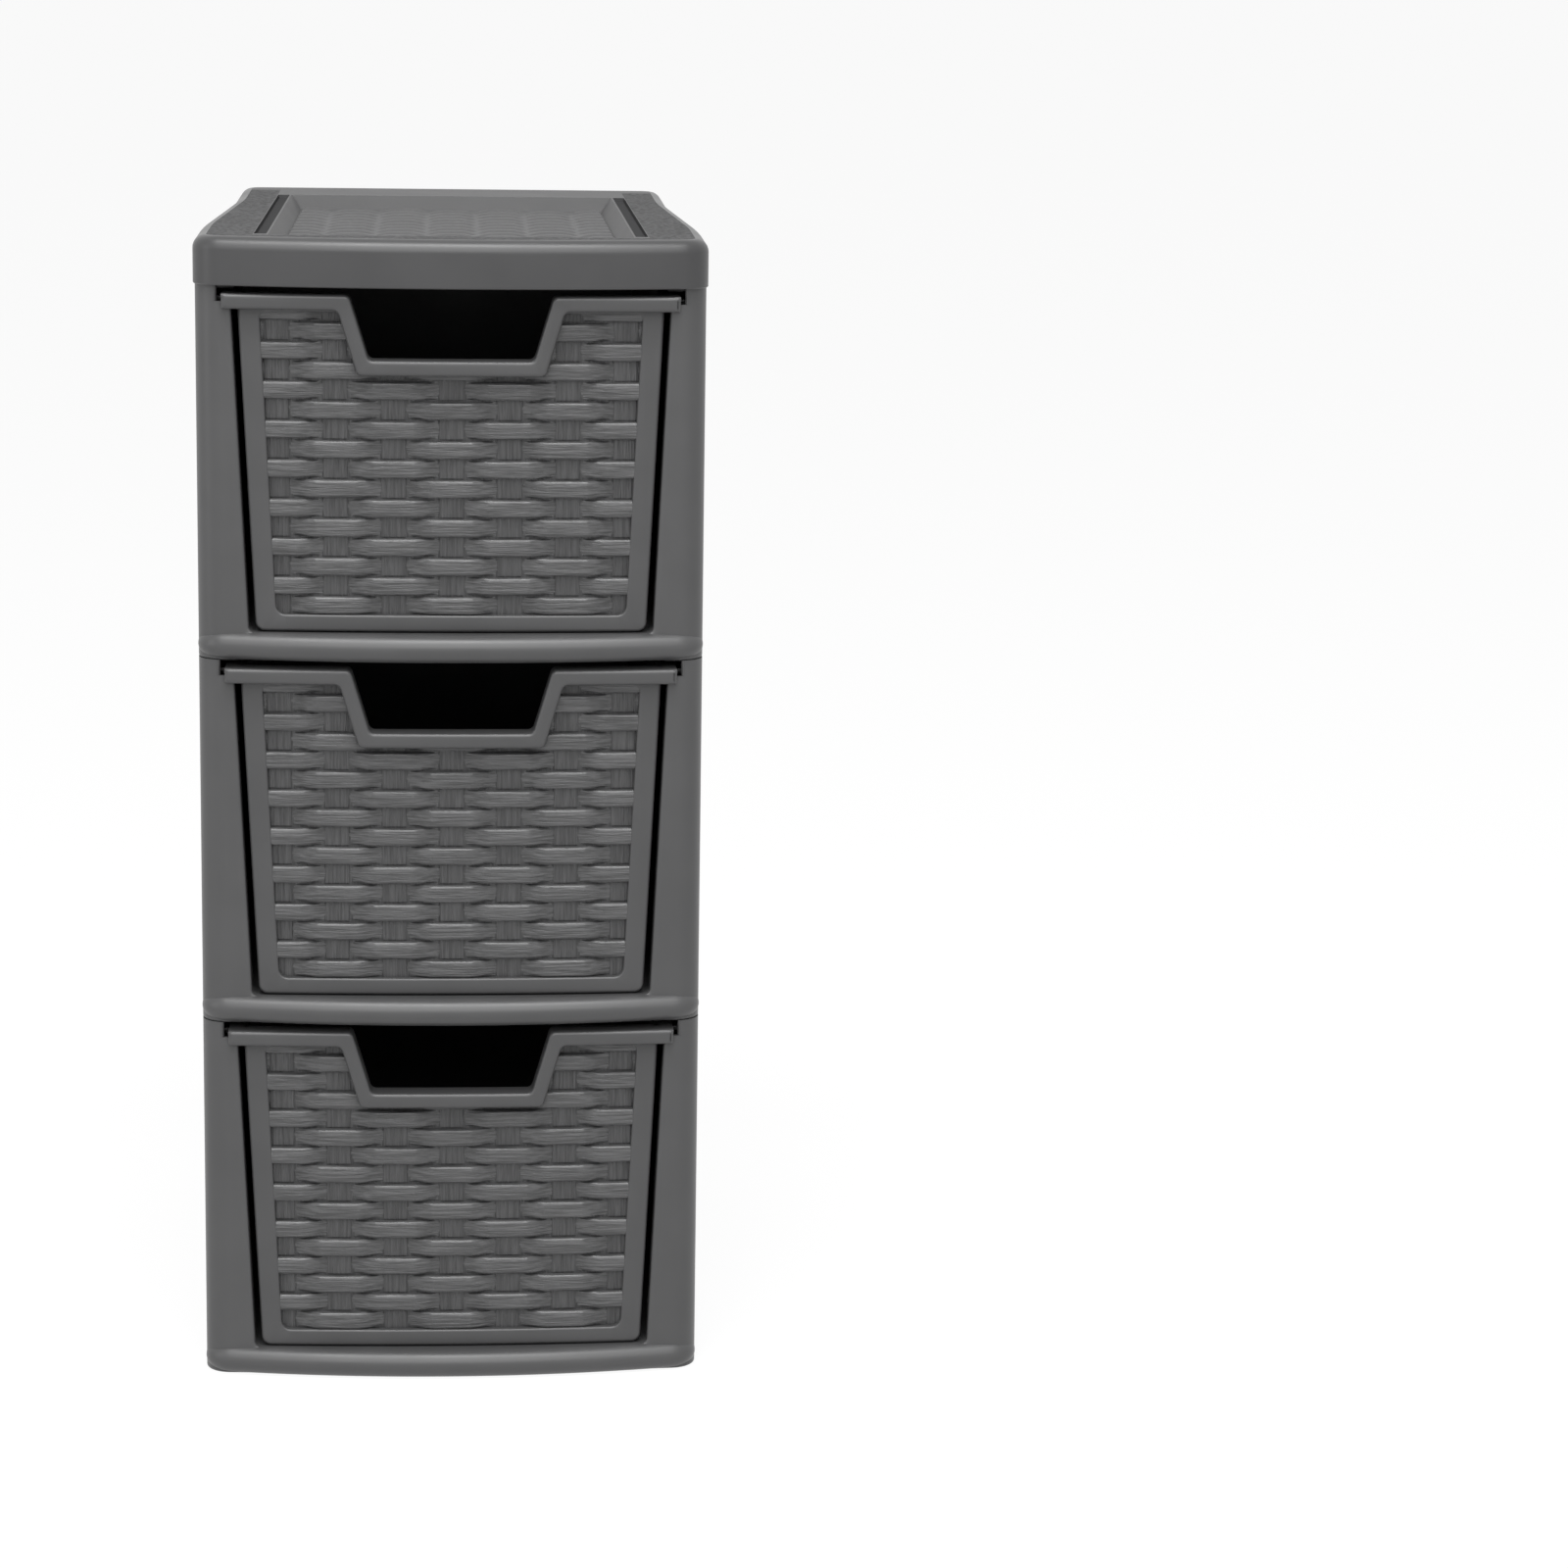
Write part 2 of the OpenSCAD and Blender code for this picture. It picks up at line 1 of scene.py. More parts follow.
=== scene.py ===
"""Looks of the plastic drawer tower: three stacked housings, three drawers with woven fronts and a
cover with a woven tray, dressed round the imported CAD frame.

All lengths are metres in the frame of the CAD model: +Z up, the drawers open towards -Y.
"""

import math

import bmesh
import bpy
import numpy as np
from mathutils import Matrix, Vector
from mathutils.geometry import delaunay_2d_cdt


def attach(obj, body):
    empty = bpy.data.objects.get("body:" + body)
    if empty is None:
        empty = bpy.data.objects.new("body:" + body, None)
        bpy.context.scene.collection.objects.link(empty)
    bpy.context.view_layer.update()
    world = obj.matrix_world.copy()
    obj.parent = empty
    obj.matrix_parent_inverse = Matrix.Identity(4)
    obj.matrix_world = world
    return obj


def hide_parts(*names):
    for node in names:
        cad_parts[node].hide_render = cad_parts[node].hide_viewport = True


MM = 0.001

# Small steps that keep the faces of separate solids out of one plane, and grid lines apart
SINK = 0.2 * MM
HAIR = 0.05 * MM
STEP_W = 0.02 * MM
LEAST_GAP = 0.01 * MM
TINY = 1e-6
TOUCH = 1e-7

# Tower
CASE_W = 265 * MM
CASE_BACK_W = 246.5 * MM
CASE_D = 375 * MM
SHOULDER_DEPTH = 95 * MM
NECK_DEPTH = 270 * MM
TIER_PITCH = 195 * MM
WALL = 2.5 * MM
FRONT_BOW = 13 * MM
FRONT_CORNER_R = 16 * MM
BACK_CORNER_R = 12 * MM

# Housing
BASE_H = 14.6 * MM
LIP_END = 60 * MM
FLOOR_T = 2.6 * MM
STILE_SETBACK = 10.5 * MM
STILE_BOW = 5 * MM
STILE_CORNER_R = 14 * MM
STILE_TOP_W = 19.2 * MM
STILE_FOOT_W = 27.3 * MM
RETURN_DEPTH = 15 * MM
RETURN_T = 2.2 * MM
WALL_STEP = 0.5 * MM
LEDGE_T = 2.5 * MM
SHELF_T = 3 * MM
SHELF_W = 20.5 * MM
RAIL_H = 4.5 * MM
RIB_T = 2 * MM
RIB_H = 2.5 * MM
RIB_PITCH = 60 * MM
RIB_SETBACK = 16 * MM
OPEN_FOOT_R = 3 * MM
STILE_EDGE_R = 1.5 * MM
FOOT_EDGE_R = 1.5 * MM

# Drawer
SIDE_GAP = 3.5 * MM
FLOOR_GAP = 0.6 * MM
DRAWER_WALL = 2.2 * MM
BACK_GAP = 13 * MM
DRAWER_CORNER_R = 5 * MM
RIM_H = 8 * MM
RIM_TOP_GAP = 4 * MM
RIM_SIDE_GAP = 14.5 * MM
RIM_SETBACK = 6 * MM
RIM_BOW = 5 * MM
RIM_PROUD = 7 * MM
SLOT_GAP = 2.3 * MM
FLANGE_T = 2.5 * MM
CUT_DEPTH = 33.5 * MM
CUT_TOP_W = 105 * MM
CUT_BOTTOM_W = 85 * MM
CUT_R = 3.5 * MM
STOP_SIZE = 8 * MM
STOP_SETBACK = 52 * MM
FIT_GAP = 0.3 * MM
RIM_CORNER_R = 1.2 * MM
RIM_EDGE_R = 1.9 * MM
FRAME_EDGE_R = 1.6 * MM
PANEL_EDGE_R = 1.2 * MM
TUB_EDGE = 0.8 * MM
TUB_LAP = 4 * MM

# Weave of the drawer fronts
STAKE_PITCH = 30.1 * MM
STAKE_W = 12.4 * MM
ROW_PITCH = 10.22 * MM
ROW_GAP = 0.9 * MM
PANEL_RECESS = 4.5 * MM
STAKE_RELIEF = 0.8 * MM
ROW_RELIEF = 4.1 * MM
ROW_FLAT = 10 * MM
ROW_EDGE_R = 1.5 * MM
ROW_CAMBER = 0.4 * MM
ROW_EASE = 0.45
STAKE_EDGE_W = 1.2 * MM
STAKE_EDGE_DROP = 0.25 * MM
WEAVE_LAP = 1.5 * MM
WEAVE_GRID = 1 * MM
BORDER_SIDE = 11.2 * MM
BORDER_FOOT = 8.8 * MM
BORDER_TOP = 1.5 * MM

# Cover
COVER_H = 25 * MM
COVER_OVERHANG = 0.4 * MM
COVER_EDGE_R = 7 * MM
COVER_WALL = 2.5 * MM
TRAY_DEPTH = 8 * MM
TRAY_FRONT = 27 * MM
TRAY_BACK = 66 * MM
TRAY_W = 189 * MM
TRAY_LEAN = 6 * MM
TRAY_TAPER = 3 * MM
GROOVE_W = 6.5 * MM
GROOVE_DEPTH = 2 * MM
GROOVE_EDGE = 0.4 * MM
GROOVE_END = 1.5 * MM
RIDGE_W = 1 * MM
CELL_W = 27.3 * MM
CELL_RELIEF = 1.8 * MM
PEBBLE_BACK = 40 * MM
BAND_LEAST = 12 * MM
FRONT_GRID = 1.2 * MM
BACK_GRID = 1.5 * MM

# Worked out from the sizes above
FRONT_Y = -CASE_D / 2
BACK_Y = CASE_D / 2
HALF_W = CASE_W / 2
HALF_BACK_W = CASE_BACK_W / 2
SHOULDER_Y = FRONT_Y + SHOULDER_DEPTH
NECK_Y = FRONT_Y + NECK_DEPTH
LIP_R = BASE_H / 2
OPEN_TOP_HALF = HALF_W - STILE_TOP_W
OPEN_FOOT_HALF = HALF_W - STILE_FOOT_W
RIM_TOP_Z = TIER_PITCH - RIM_TOP_GAP
RIM_FOOT_Z = RIM_TOP_Z - RIM_H
RIM_HALF = HALF_W - RIM_SIDE_GAP
SLOT_HALF = RIM_HALF + SLOT_GAP
SLOT_Z = RIM_TOP_Z - RIM_H / 2 - FIT_GAP
FLANGE_Z = RIM_TOP_Z - FLANGE_T
LEDGE_TOP_Z = FLANGE_Z - FIT_GAP
DRAWER_FOOT_Z = BASE_H + FLOOR_GAP
DRAWER_TOP_HALF = OPEN_TOP_HALF - SIDE_GAP
DRAWER_FOOT_HALF = OPEN_FOOT_HALF - SIDE_GAP
DRAWER_BACK_Y = BACK_Y - WALL - BACK_GAP
FACE_T = RIM_PROUD + PANEL_RECESS + DRAWER_WALL
LEAN = (DRAWER_TOP_HALF - DRAWER_FOOT_HALF) / (RIM_FOOT_Z - DRAWER_FOOT_Z)
PANEL_FOOT_Z = DRAWER_FOOT_Z + BORDER_FOOT
PANEL_TOP_Z = RIM_FOOT_Z - BORDER_TOP
CUT_Z = RIM_TOP_Z - CUT_DEPTH
CUT_SLOPE = (CUT_TOP_W - CUT_BOTTOM_W) / 2 / CUT_DEPTH
COVER_Z = 3 * TIER_PITCH
COVER_TOP_Z = COVER_Z + COVER_H
TRAY_FRONT_Y = FRONT_Y + TRAY_FRONT
TRAY_BACK_Y = BACK_Y - TRAY_BACK
TRAY_FLOOR_Y = TRAY_FRONT_Y + TRAY_LEAN

ARC_STEPS = 10
SIDE_SOFT = 20 * MM


# ---------------------------------------------------------------- plan outlines

def arc_radius(half_chord, bow):
    """Radius of an arc that rises by bow over half a chord."""
    return (half_chord ** 2 + bow ** 2) / (2 * bow)


RIM_ARC_R = arc_radius(RIM_HALF, RIM_BOW)
RIM_ARC_Y = FRONT_Y + RIM_SETBACK + RIM_ARC_R


def rim_arc(x):
    """Y of the drawer rim's front face at x."""
    return RIM_ARC_Y - np.sqrt(RIM_ARC_R ** 2 - np.asarray(x) ** 2)


def smooth(t):
    """Ramp from 0 to 1 that starts and ends level."""
    t = np.clip(t, 0, 1)
    return t * t * (3 - 2 * t)


def polar(r, a):
    """Vector of length r at angle a."""
    return r * np.array([math.cos(a), math.sin(a)])


def side_half(y):
    """Half-width of the case at y: straight to the shoulder, a soft curve in, straight to the back."""
    t = (np.asarray(y) - SHOULDER_Y) / (NECK_Y - SHOULDER_Y)
    knee = SIDE_SOFT / (NECK_Y - SHOULDER_Y)
    lean = soft_step(t, knee) - soft_step(t - 1, knee)
    return HALF_W - (HALF_W - HALF_BACK_W) * lean


def soft_step(t, knee):
    """The ramp max(t, 0) with its bend rounded over plus or minus knee."""
    return np.where(t > knee, t, np.where(t < -knee, 0, (t + knee) ** 2 / (4 * knee)))


class Plan:
    """Case outline in plan: a bowed front, rounded corners and sides that close in to a neck.

    It gives points of the right half from the middle of the front to the middle of the back, and
    their outward normals, so that an inset of the outline keeps its point count.
    """

    def __init__(self, setback, bow, corner_r):
        """Finds the front arc and the corner arc that touch each other and the side."""
        self.arc_r = arc_radius(HALF_W - corner_r / 2, bow)
        self.arc_c = np.array([0, FRONT_Y + setback + self.arc_r])
        corner_x = HALF_W - corner_r
        rise = math.sqrt((self.arc_r - corner_r) ** 2 - corner_x ** 2)
        self.front_c = np.array([corner_x, self.arc_c[1] - rise])
        self.corner_r = corner_r
        self.front_a = math.atan2(-rise, corner_x)
        self.back_c = np.array([HALF_BACK_W - BACK_CORNER_R, BACK_Y - BACK_CORNER_R])

    def half(self, front_steps=24, side_steps=28, first_a=-math.pi / 2):
        """Points and normals of the right half, from angle first_a of the front arc."""
        rows = []
        for a in np.linspace(first_a, self.front_a, front_steps + 1):
            rows.append((self.arc_c + polar(self.arc_r, a), polar(1, a)))
        for a in np.linspace(self.front_a, 0, ARC_STEPS + 1)[1:]:
            rows.append((self.front_c + polar(self.corner_r, a), polar(1, a)))
        h = 1 * MM
        for y in np.linspace(self.front_c[1], self.back_c[1], side_steps + 1)[1:-1]:
            slope = float(side_half(y + h) - side_half(y - h)) / (2 * h)
            rows.append((np.array([float(side_half(y)), y]), polar(1, -math.atan(slope))))
        for a in np.linspace(0, math.pi / 2, ARC_STEPS + 1):
            rows.append((self.back_c + polar(BACK_CORNER_R, a), polar(1, a)))
        rows.append((np.array([0, BACK_Y]), polar(1, math.pi / 2)))
        return np.array([r[0] for r in rows]), np.array([r[1] for r in rows])

    def loop(self, **steps):
        """Closed outline and normals: the right half, then its mirror image."""
        pts, nrm = self.half(**steps)
        flip = np.array([-1, 1])
        return np.vstack([pts, (pts * flip)[-2:0:-1]]), np.vstack([nrm, (nrm * flip)[-2:0:-1]])


BASE_PLAN = Plan(0, FRONT_BOW, FRONT_CORNER_R)
STILE_PLAN = Plan(STILE_SETBACK, STILE_BOW, STILE_CORNER_R)


# ---------------------------------------------------------------- outlines seen from the front

def corner_arc(a, p, b, r, steps=6):
    """Points of the arc that rounds the corner p between a and b."""
    if r == 0:
        return [p]
    u = (a - p) / np.linalg.norm(a - p)
    v = (b - p) / np.linalg.norm(b - p)
    half = math.acos(np.clip(u @ v, -1, 1)) / 2
    centre = p + (u + v) / np.linalg.norm(u + v) * r / math.sin(half)
    start = p + u * r / math.tan(half) - centre
    end = p + v * r / math.tan(half) - centre
    a0 = math.atan2(start[1], start[0])
    sweep = (math.atan2(end[1], end[0]) - a0 + math.pi) % (2 * math.pi) - math.pi
    return [centre + polar(r, a0 + sweep * k / steps) for k in range(steps + 1)]


def rounded(points, radii):
    """Closed polygon with each corner rounded by its own radius."""
    pts = [np.array(p, float) for p in points]
    out = []
    for i, p in enumerate(pts):
        out += corner_arc(pts[i - 1], p, pts[(i + 1) % len(pts)], radii[i])
    return np.array(out)


def trapezoid(foot_half, top_half, z0, z1):
    """Corners of a trapezoid about the middle, foot first."""
    return [(-foot_half, z0), (foot_half, z0), (top_half, z1), (-top_half, z1)]


def drawer_outline(inset, top_z, r=DRAWER_CORNER_R):
    """Drawer seen from the front, inset at its foot and sides, with rounded foot corners."""
    foot_z = DRAWER_FOOT_Z + inset
    foot_half = DRAWER_FOOT_HALF - inset + LEAN * inset
    top_half = foot_half + LEAN * (top_z - foot_z)
    return rounded(trapezoid(foot_half, top_half, foot_z, top_z), [r, r, 0, 0])


def panel_half(z):
    """Half-width of the woven panel at height z."""
    return DRAWER_FOOT_HALF + LEAN * (z - DRAWER_FOOT_Z) - BORDER_SIDE


def cut_half(z):
    """Half-width of the finger cut-out at height z."""
    return CUT_BOTTOM_W / 2 + CUT_SLOPE * (z - CUT_Z)


def rim_outline():
    """Rim band that runs along the top and dips round the finger cut-out."""
    band_side = RIM_H * math.sqrt(1 + CUT_SLOPE ** 2)
    band_foot_z = CUT_Z - RIM_H
    outer = cut_half(RIM_FOOT_Z) + band_side
    inner = cut_half(band_foot_z) + band_side
    right = [(inner, band_foot_z), (outer, RIM_FOOT_Z), (RIM_HALF, RIM_FOOT_Z), (RIM_HALF, RIM_TOP_Z),
             (cut_half(RIM_TOP_Z), RIM_TOP_Z), (cut_half(CUT_Z), CUT_Z)]
    left = [(-x, z) for x, z in reversed(right)]
    r = [CUT_R, CUT_R, RIM_CORNER_R, RIM_CORNER_R, CUT_R, CUT_R]
    return rounded(right + left, r + r[::-1])


# ---------------------------------------------------------------- mesh building

PRISM_CORNER = math.radians(17)
PLATE_CORNER = math.radians(60)


def make_object(name, bm, body, materials, sharp_deg=35):
    """Object from a bmesh, smooth but for its sharp edges, riding on a CAD body."""
    mesh = bpy.data.meshes.new(name)
    bmesh.ops.recalc_face_normals(bm, faces=bm.faces)
    bm.to_mesh(mesh)
    bm.free()
    for m in materials:
        mesh.materials.append(m)
    mesh.shade_smooth()
    mesh.set_sharp_from_angle(angle=math.radians(sharp_deg))
    obj = bpy.data.objects.new(name, mesh)
    bpy.context.scene.collection.objects.link(obj)
    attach(obj, body)
    return obj


def add_rings(bm, rings, close_ring=True, close_sweep=False):
    """Quads between rings of equal point count. Returns the rings' vertices."""
    made = [[bm.verts.new(p) for p in ring] for ring in rings]
    pairs = list(zip(made, made[1:]))
    if close_sweep:
        pairs.append((made[-1], made[0]))
    for a, b in pairs:
        n = len(a)
        for i in range(n if close_ring else n - 1):
            j = (i + 1) % n
            bm.faces.new((a[i], a[j], b[j], b[i]))
    return made


def fill_level(bm, ring):
    """Triangles that fill a level ring of vertices, also where its outline is hollow."""
    flat = [v.co.to_2d() for v in ring]
    _, _, faces, origin, _, _ = delaunay_2d_cdt(flat, [], [list(range(len(ring)))], 1, TOUCH / 10)
    for face in faces:
        bm.faces.new([ring[origin[i][0]] for i in face])


def rectangle(x0, x1, y0, y1):
    """Corners of a rectangle in plan."""
    return [(x0, y0), (x1, y0), (x1, y1), (x0, y1)]


def add_prism(bm, plan, z0, z1, bevel=0.4 * MM):
    """Upright prism over a plan polygon, with its edges rounded where they turn sharply."""
    part = bmesh.new()
    bottom = [part.verts.new((x, y, z0)) for x, y in plan]
    top = [part.verts.new((x, y, z1)) for x, y in plan]
    part.faces.new(bottom)
    part.faces.new(top)
    for i in range(len(plan)):
        j = (i + 1) % len(plan)
        part.faces.new((bottom[i], bottom[j], top[j], top[i]))
    part.normal_update()
    bmesh.ops.recalc_face_normals(part, faces=part.faces)
    corners = [e for e in part.edges if e.calc_face_angle(0) > PRISM_CORNER]
    bmesh.ops.bevel(part, geom=corners, offset=bevel, segments=2, profile=0.5, affect="EDGES")
    merge(bm, part)


def merge(bm, part):
    """Adds one bmesh to another."""
    mesh = bpy.data.meshes.new("part")
    part.to_mesh(mesh)
    part.free()
    bm.from_mesh(mesh)
    bpy.data.meshes.remove(mesh)


def bent_plate(outline, inner, depth0, depth1, z_off, bevel, step=6 * MM):
    """Plate with an outline seen from the front, between two depths behind the rim's arc, bent to it.

    Its front edges are rounded by bevel, and those between the outline's inner points by
    PANEL_EDGE_R. Upright cuts, one every step, let it bend.
    """
    bm = bmesh.new()
    verts = [bm.verts.new((x, depth0, z + z_off)) for x, z in outline]
    edges = [bm.edges.new((v, verts[i - 1])) for i, v in enumerate(verts)]
    bmesh.ops.triangle_fill(bm, use_beauty=True, use_dissolve=False, edges=edges)
    inner_verts = {verts[i] for i in inner}
    grown = bmesh.ops.extrude_face_region(bm, geom=list(bm.faces))
    moved = [g for g in grown["geom"] if isinstance(g, bmesh.types.BMVert)]
    bmesh.ops.translate(bm, verts=moved, vec=(0, depth1 - depth0, 0))
    bmesh.ops.recalc_face_normals(bm, faces=bm.faces)
    rim_edges = [e for e in bm.edges if all(abs(v.co.y - depth0) < TOUCH for v in e.verts)
                 and len(e.link_faces) == 2 and e.calc_face_angle(0) > PLATE_CORNER]
    inside = [e for e in rim_edges if all(v in inner_verts for v in e.verts)]
    outside = [e for e in rim_edges if e not in inside]
    for edges, width in ((inside, PANEL_EDGE_R), (outside, bevel)):
        chosen = [e for e in edges if e.is_valid]
        if chosen and width:
            bmesh.ops.bevel(bm, geom=chosen, offset=width, segments=5, profile=0.5, affect="EDGES")
    reach = max(abs(x) for x, _ in outline)
    for x in np.arange(-reach + step, reach, step):
        bmesh.ops.bisect_plane(bm, geom=list(bm.verts) + list(bm.edges) + list(bm.faces), dist=TOUCH,
                               plane_co=(x, 0, 0), plane_no=(1, 0, 0))
    for v in bm.verts:
        v.co.y += float(rim_arc(v.co.x))
    return bm


# ---------------------------------------------------------------- materials

BLUE_TINGE = 0.001
FAINT_GRAIN = 0.04
BROAD_SCALE = 30
ROUGHNESS_REACH = 0.03
COAT_ROUGHNESS = 0.1


def node_material(name, colour, roughness):
    """Material with a plain Principled shader. Returns both."""
    mat = bpy.data.materials.new(name)
    mat.use_nodes = True
    bsdf = mat.node_tree.nodes["Principled BSDF"]
    bsdf.inputs["Base Color"].default_value = (*colour, 1)
    bsdf.inputs["Roughness"].default_value = roughness
    return mat, bsdf


def add_node(mat, kind, **values):
    """Node with values set on the inputs of that name, or else on the node itself."""
    node = mat.node_tree.nodes.new(kind)
    for key, value in values.items():
        if key in node.inputs:
            node.inputs[key].default_value = value
        else:
            setattr(node, key, value)
    return node


def link(mat, a, out, b, into):
    """Links output out of node a to input into of node b."""
    mat.node_tree.links.new(a.outputs[out], b.inputs[into])


def object_noise(mat, scale, detail, stretch=(1, 1, 1)):
    """Noise over the object's own coordinates, stretched along its axes."""
    coords = add_node(mat, "ShaderNodeTexCoord")
    mapping = add_node(mat, "ShaderNodeMapping", Scale=stretch)
    noise = add_node(mat, "ShaderNodeTexNoise", Scale=scale, Detail=detail)
    link(mat, coords, "Object", mapping, "Vector")
    link(mat, mapping, "Vector", noise, "Vector")
    return noise


def map_noise(mat, noise, reach, low=0.0, high=1.0):
    """Node that turns noise within reach of its middle, a half, into values from low to high."""
    values = {"From Min": 0.5 - reach, "From Max": 0.5 + reach, "To Min": low, "To Max": high}
    node = add_node(mat, "ShaderNodeMapRange", **values)
    link(mat, noise, "Fac", node, "Value")
    return node


def plastic(name, grey, roughness, layers, coat=0.0, specular=0.5, grain=FAINT_GRAIN):
    """Moulded dark grey plastic: a colour that varies by grain, and a bump from layers of noise.

    Each layer is (scale, detail, stretch, bump distance, bump strength). A faint grain follows a broad
    noise, as the roughness does, and a strong one follows the first layer.
    """
    colour = (grey, grey, grey + BLUE_TINGE)
    mat, bsdf = node_material(name, colour, roughness)
    bsdf.inputs["Coat Weight"].default_value = coat
    bsdf.inputs["Coat Roughness"].default_value = COAT_ROUGHNESS
    bsdf.inputs["Specular IOR Level"].default_value = specular
    broad = object_noise(mat, BROAD_SCALE, detail=2)
    ramp = map_noise(mat, broad, 0.2, roughness - ROUGHNESS_REACH, roughness + ROUGHNESS_REACH)
    link(mat, ramp, "Result", bsdf, "Roughness")
    noises = [object_noise(mat, *layer[:3]) for layer in layers]
    spread = map_noise(mat, noises[0] if grain > FAINT_GRAIN else broad, 0.15)
    tint = add_node(mat, "ShaderNodeMix", data_type="RGBA")
    tint.inputs["A"].default_value = (*[c * (1 - grain) for c in colour], 1)
    tint.inputs["B"].default_value = (*[c * (1 + grain) for c in colour], 1)
    link(mat, spread, "Result", tint, "Factor")
    link(mat, tint, "Result", bsdf, "Base Color")
    previous = None
    for noise, (*_, distance, strength) in zip(noises, layers):
        bump = add_node(mat, "ShaderNodeBump", Distance=distance, Strength=strength)
        link(mat, noise, "Fac", bump, "Height")
        if previous:
            link(mat, previous, "Normal", bump, "Normal")
        previous = bump
    link(mat, previous, "Normal", bsdf, "Normal")
    return mat


def make_materials():
    """The eight materials: satin mouldings, fibres along the rows and the stakes, a pebbled cover, and a
    darker grey in the cover's grooves that is painted shade.
    """
    even = (1, 1, 1)
    waves = (45, 2, even, 0.25 * MM, 0.12)
    fine = (900, 3, even, 0.02 * MM, 0.25)
    satin = [waves, fine]
    fibres = [(1, 3, (40, 300, 900), 0.8 * MM, 1.0), (1, 2, (110, 300, 1700), 0.5 * MM, 1.0)]
    upright = [(scale, detail, stretch[::-1], *bump) for scale, detail, stretch, *bump in fibres]
    matt = [(520, 2, even, 0.22 * MM, 0.5), waves]
    pebbles = [(430, 2, even, 0.6 * MM, 1.0), fine]
    return {
        "case": plastic("case_satin", 0.056, 0.38, satin),
        "drawer": plastic("drawer_satin", 0.052, 0.38, satin),
        "row": plastic("woven_row", 0.060, 0.40, fibres, coat=0.5, specular=0.3, grain=0.35),
        "stake": plastic("woven_stake", 0.058, 0.42, upright, coat=0.2, specular=0.3, grain=0.25),
        "cover": plastic("cover_satin", 0.038, 0.38, satin),
        "tray": plastic("cover_tray", 0.098, 0.55, matt, specular=0.08),
        "pebble": plastic("cover_pebble", 0.060, 0.7, pebbles, specular=0.12, grain=0.45),
        # painted shade: the grooves' darker grey stands in for the shade that falls in them
        "groove": plastic("cover_groove_painted_shade", 0.045, 0.85, satin, specular=0.02),
    }


# ---------------------------------------------------------------- drawers

def weave_relief(x, z):
    """Height of the woven front above the recess and whether a row is in front, on grids x and z."""
    k = np.floor((z - PANEL_FOOT_Z) / ROW_PITCH + TINY)
    slat = ROW_PITCH - ROW_GAP
    up = z - PANEL_FOOT_Z - k * ROW_PITCH
    from_edge = np.minimum(up, slat - up)
    i = np.floor(x / STAKE_PITCH + 0.5)
    here = (i + k) % 2 == 0
    centre = np.where(here, i, i + np.where(x > i * STAKE_PITCH, 1, -1)) * STAKE_PITCH
    bulge_half = STAKE_PITCH - STAKE_W / 2
    t = np.clip((bulge_half - np.abs(x - centre)) / (bulge_half - ROW_FLAT), 0, 1)
    top = ROW_RELIEF * ((1 - ROW_EASE) * t + ROW_EASE * smooth(t))
    r = np.minimum(ROW_EDGE_R, top + TINY)
    drop = r - np.sqrt(np.maximum(r ** 2 - np.maximum(r - from_edge, 0) ** 2, 0))
    camber = ROW_CAMBER * (1 - (2 * up / slat - 1) ** 2)
    row = np.where(from_edge > -TINY, np.maximum(top - drop - ROW_CAMBER + camber, 0), 0)
    off = STAKE_W / 2 - np.abs(x - i * STAKE_PITCH)
    stake = np.where(off > 0, STAKE_RELIEF - STAKE_EDGE_DROP * np.clip(1 - off / STAKE_EDGE_W, 0, 1), 0)
    ahead = row > np.where(here, 0, stake)
    return np.where(here, row, np.maximum(row, stake)), ahead


def weave_panel(name, tier, body, materials):
    """Woven skin of a drawer front, a fine grid that ends under the frame and the rim.

    Two grid lines close together make each upright step of the weave.
    """
    z_off = tier * TIER_PITCH
    rows = int((PANEL_TOP_Z - PANEL_FOOT_Z) / ROW_PITCH) + 1
    slat = ROW_PITCH - ROW_GAP
    edge = ROW_EDGE_R * (1 - np.cos(np.radians([0, 18, 36, 54, 72, 90])))
    v = np.concatenate([[-STEP_W], edge, slat * np.array([0.3, 0.5, 0.7]), (slat - edge)[::-1],
                        [slat + STEP_W]])
    z = np.concatenate([[-WEAVE_LAP], *[k * ROW_PITCH + v for k in range(rows)]]) + PANEL_FOOT_Z
    z = z[z < PANEL_TOP_Z + WEAVE_LAP]
    reach = panel_half(PANEL_TOP_Z) + WEAVE_LAP
    bend = STAKE_W / 2 + np.array([-STAKE_EDGE_W, -STEP_W, STEP_W])
    near = [i * STAKE_PITCH + side * bend for i in range(-4, 5) for side in (1, -1)]
    x = np.sort(np.concatenate([np.arange(-reach, reach, WEAVE_GRID), *near]))
    x = x[np.abs(x) < reach]
    x = x[np.append(True, np.diff(x) > LEAST_GAP)]
    gx, gz = np.meshgrid(x, z)
    relief, ahead = weave_relief(gx, gz)
    gy = rim_arc(gx) + RIM_PROUD + PANEL_RECESS - relief
    keep = np.abs(gx) < panel_half(gz) + WEAVE_LAP
    band = RIM_H / 2
    keep &= ~((gz > CUT_Z - band) & (np.abs(gx) < cut_half(gz) + band))
    bm = bmesh.new()
    verts = {}
    for r in range(len(z)):
        for c in range(len(x)):
            if keep[r, c]:
                verts[r, c] = bm.verts.new((gx[r, c], gy[r, c], gz[r, c] + z_off))
    for r in range(len(z) - 1):
        for c in range(len(x) - 1):
            ring = [(r, c), (r, c + 1), (r + 1, c + 1), (r + 1, c)]
            if all(p in verts for p in ring):
                face = bm.faces.new([verts[p] for p in ring])
                face.material_index = 0 if ahead[r, c] else 1
    return make_object(name, bm, body, materials, sharp_deg=50)


